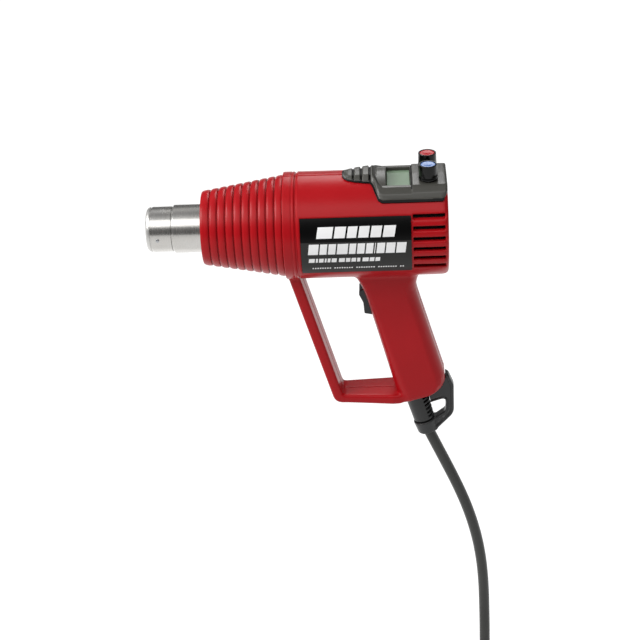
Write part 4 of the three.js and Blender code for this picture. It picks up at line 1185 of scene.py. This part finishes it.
def plug_body():
    f, (x0, y0, z0), (x1, y1, z1) = node_field("plug_body", 0.8, 0.32)
    down = z1 - f.z.ravel()
    levels = [0, 12, 15, 21, 28, 40, 42]
    wide = np.interp(down, levels, [6.2, 7.2, 8.6, 12.6, 13.4, 14.0, 13.4])
    deep = np.interp(down, levels, [6.2, 7.2, 8.2, 11.0, 11.7, 12.2, 11.6])
    for i in range(3):
        near = np.exp(-(((down - 3.6 - 3.4 * i) / 0.6) ** 2))
        wide, deep = wide - 0.9 * near, deep - 0.9 * near
    for i in range(3):
        near = np.exp(-(((down - 27 - 3.4 * i) / 0.7) ** 2))
        deep = deep - 0.7 * near
    wide, deep = (v.astype(np.float32)[None, None, :] for v in (wide, deep))
    u, v = np.abs(f.x - (x0 + x1) / 2) / wide, np.abs(f.y - (y0 + y1) / 2) / deep
    power = 2.6
    g = (u ** power + v ** power) ** (1 / power)
    body = both((g - 1) * np.minimum(wide, deep), slab(f.z, z0, z1), 1.2)
    skin(f, "plug_body", body, "plug_nylon")


def plug_blade(node):
    f, (x0, y0, z0), (x1, y1, z1) = node_field(node, 0.5, 0.16)
    blade = both(slab(f.y, y0, y1), slab(f.z, z0, z1), 1.2)
    blade = both(blade, slab(f.x, x0, x1), 0.5)
    hole = tube(f.y, f.z, ((y0 + y1) / 2, z0 + 4.5), 1.5)
    finish_piece(f.object(node + "_brass", cut(blade, hole, 0.2), 0.01), "contact_brass", node)


def plug_earth_pin():
    _, (x0, y0, z0), (x1, y1, z1) = node_field("plug_earth_pin", 0.5, 0.5)
    radius, length = (y1 - y0) / 2, z1 - z0
    nose = arc(length - 2.0, radius - 2.0, 2.0, 90, 10)
    pin = [(0, 0), (0, radius), (length - 2.2, radius), *nose, (length, 0)]

    def place(p):
        return np.stack([p[:, 1] + (x0 + x1) / 2, p[:, 2] + (y0 + y1) / 2, z1 - p[:, 0]], 1)

    obj = lathe_object("plug_earth_pin_brass", pin, 48, place)
    finish_piece(obj, "contact_brass", "plug_earth_pin")


coil_tie()
plug_body()
plug_blade("plug_blade_line")
plug_blade("plug_blade_neutral")
plug_earth_pin()

# ---- The CAD nodes that show as they are ----
for row in frame["record"]["subparts"]:
    node = frame["nodes"][row["node"]]
    if not node.hide_render:
        node.data.materials.clear()
        node.data.materials.append(MAT[row["material_slot"]])


# ---- Floor and light ----
FLOOR_NEAR, FLOOR_FAR = 0.72, 1.0


def make_floor():
    """A pale lit table, wide enough to fill the view."""
    z = cad_bounds[0].z - 0.002
    size, front = 14, -5.5
    mesh = bpy.data.meshes.new("floor")
    corners = [(-size, front, z), (size, front, z), (size, size, z), (-size, size, z)]
    mesh.from_pydata(corners, [], [(0, 1, 2, 3)])
    floor = new_object("floor", mesh)
    m = Nodes("floor_paper")
    place = m.node("ShaderNodeSeparateXYZ")
    m.link(m.place, place.inputs[0])
    away = m.spread(place.outputs["Y"], FLOOR_NEAR, FLOOR_FAR, -0.05, 0.2)
    m.feed(Base_Color=m.mix(m.noise(3, 2), (0.2, 0.2, 0.2), (0.23, 0.23, 0.23)), Emission_Strength=away)
    m.set(Roughness=0.9, Specular_IOR_Level=0.1, Emission_Color=(1, 1, 1, 1))
    mesh.materials.append(m.material)
# Brightness of the studio by the direction round the X axis: 0 is level towards the front, 90 is up.
STUDIO = [
    (-180, 0.5), (-90, 0.5), (-14, 0.4), (-9, 0.1), (24, 0.12), (36, 0.4), (60, 0.6), (86, 0.42), (102, 0.25),
    (116, 0.4), (130, 0.6), (141, 0.3), (150, 0.14), (180, 0.15),
]


def make_world():
    """A soft studio: dark at the front and to the right, dim above, paler behind."""
    world = bpy.data.worlds.new("studio")
    bpy.context.scene.world = world
    world.use_nodes = True
    tree = world.node_tree
    back = tree.nodes["Background"]

    def math_node(operation, a, b):
        made = tree.nodes.new("ShaderNodeMath")
        made.operation = operation
        for socket, value in zip(made.inputs, (a, b)):
            if isinstance(value, (int, float)):
                socket.default_value = value
            else:
                tree.links.new(value, socket)
        return made.outputs[0]

    parts = tree.nodes.new("ShaderNodeSeparateXYZ")
    tree.links.new(tree.nodes.new("ShaderNodeTexCoord").outputs["Generated"], parts.inputs[0])
    angle = math_node("ARCTAN2", parts.outputs["Z"], math_node("MULTIPLY", parts.outputs["Y"], -1))
    share = math_node("ADD", math_node("MULTIPLY", angle, 1 / (2 * math.pi)), 0.5)
    ramp = tree.nodes.new("ShaderNodeValToRGB")
    elements = ramp.color_ramp.elements
    while len(elements) < len(STUDIO):
        elements.new(0.5)
    for element, (degrees, value) in zip(elements, STUDIO):
        element.position = (degrees + 180) / 360
        element.color = (value, value, value, 1)
    tree.links.new(share, ramp.inputs[0])
    right = tree.nodes.new("ShaderNodeMapRange")
    right.inputs["From Min"].default_value = 0.3
    right.inputs["From Max"].default_value = 0.85
    right.inputs["To Min"].default_value = 1.0
    right.inputs["To Max"].default_value = 0.2
    tree.links.new(parts.outputs["X"], right.inputs["Value"])
    tree.links.new(ramp.outputs["Color"], back.inputs["Color"])
    tree.links.new(right.outputs["Result"], back.inputs["Strength"])


def area_light(name, place, target, size, glow):
    """A soft box whose surface has the brightness glow."""
    data = bpy.data.lights.new(name, "AREA")
    data.shape = "RECTANGLE"
    data.size, data.size_y = size
    data.energy = glow * math.pi * size[0] * size[1]
    light = new_object(name, data)
    light.location = place
    light.rotation_euler = (Vector(target) - Vector(place)).to_track_quat("-Z", "Y").to_euler()


make_floor()
make_world()
area_light("key", (-0.05, -0.72, 1.05), (-0.04, 0, 0.05), (1.7, 0.72), 1.5)
area_light("side", (-1.35, -0.3, 1.05), (-0.03, 0, 0.0), (0.9, 0.8), 9.0)
area_light("rear", (-0.03, 0.506, 0.54), (-0.035, 0, 0.12), (0.26, 0.35), 3.8)
bpy.context.scene.view_settings.view_transform = "Standard"

import json
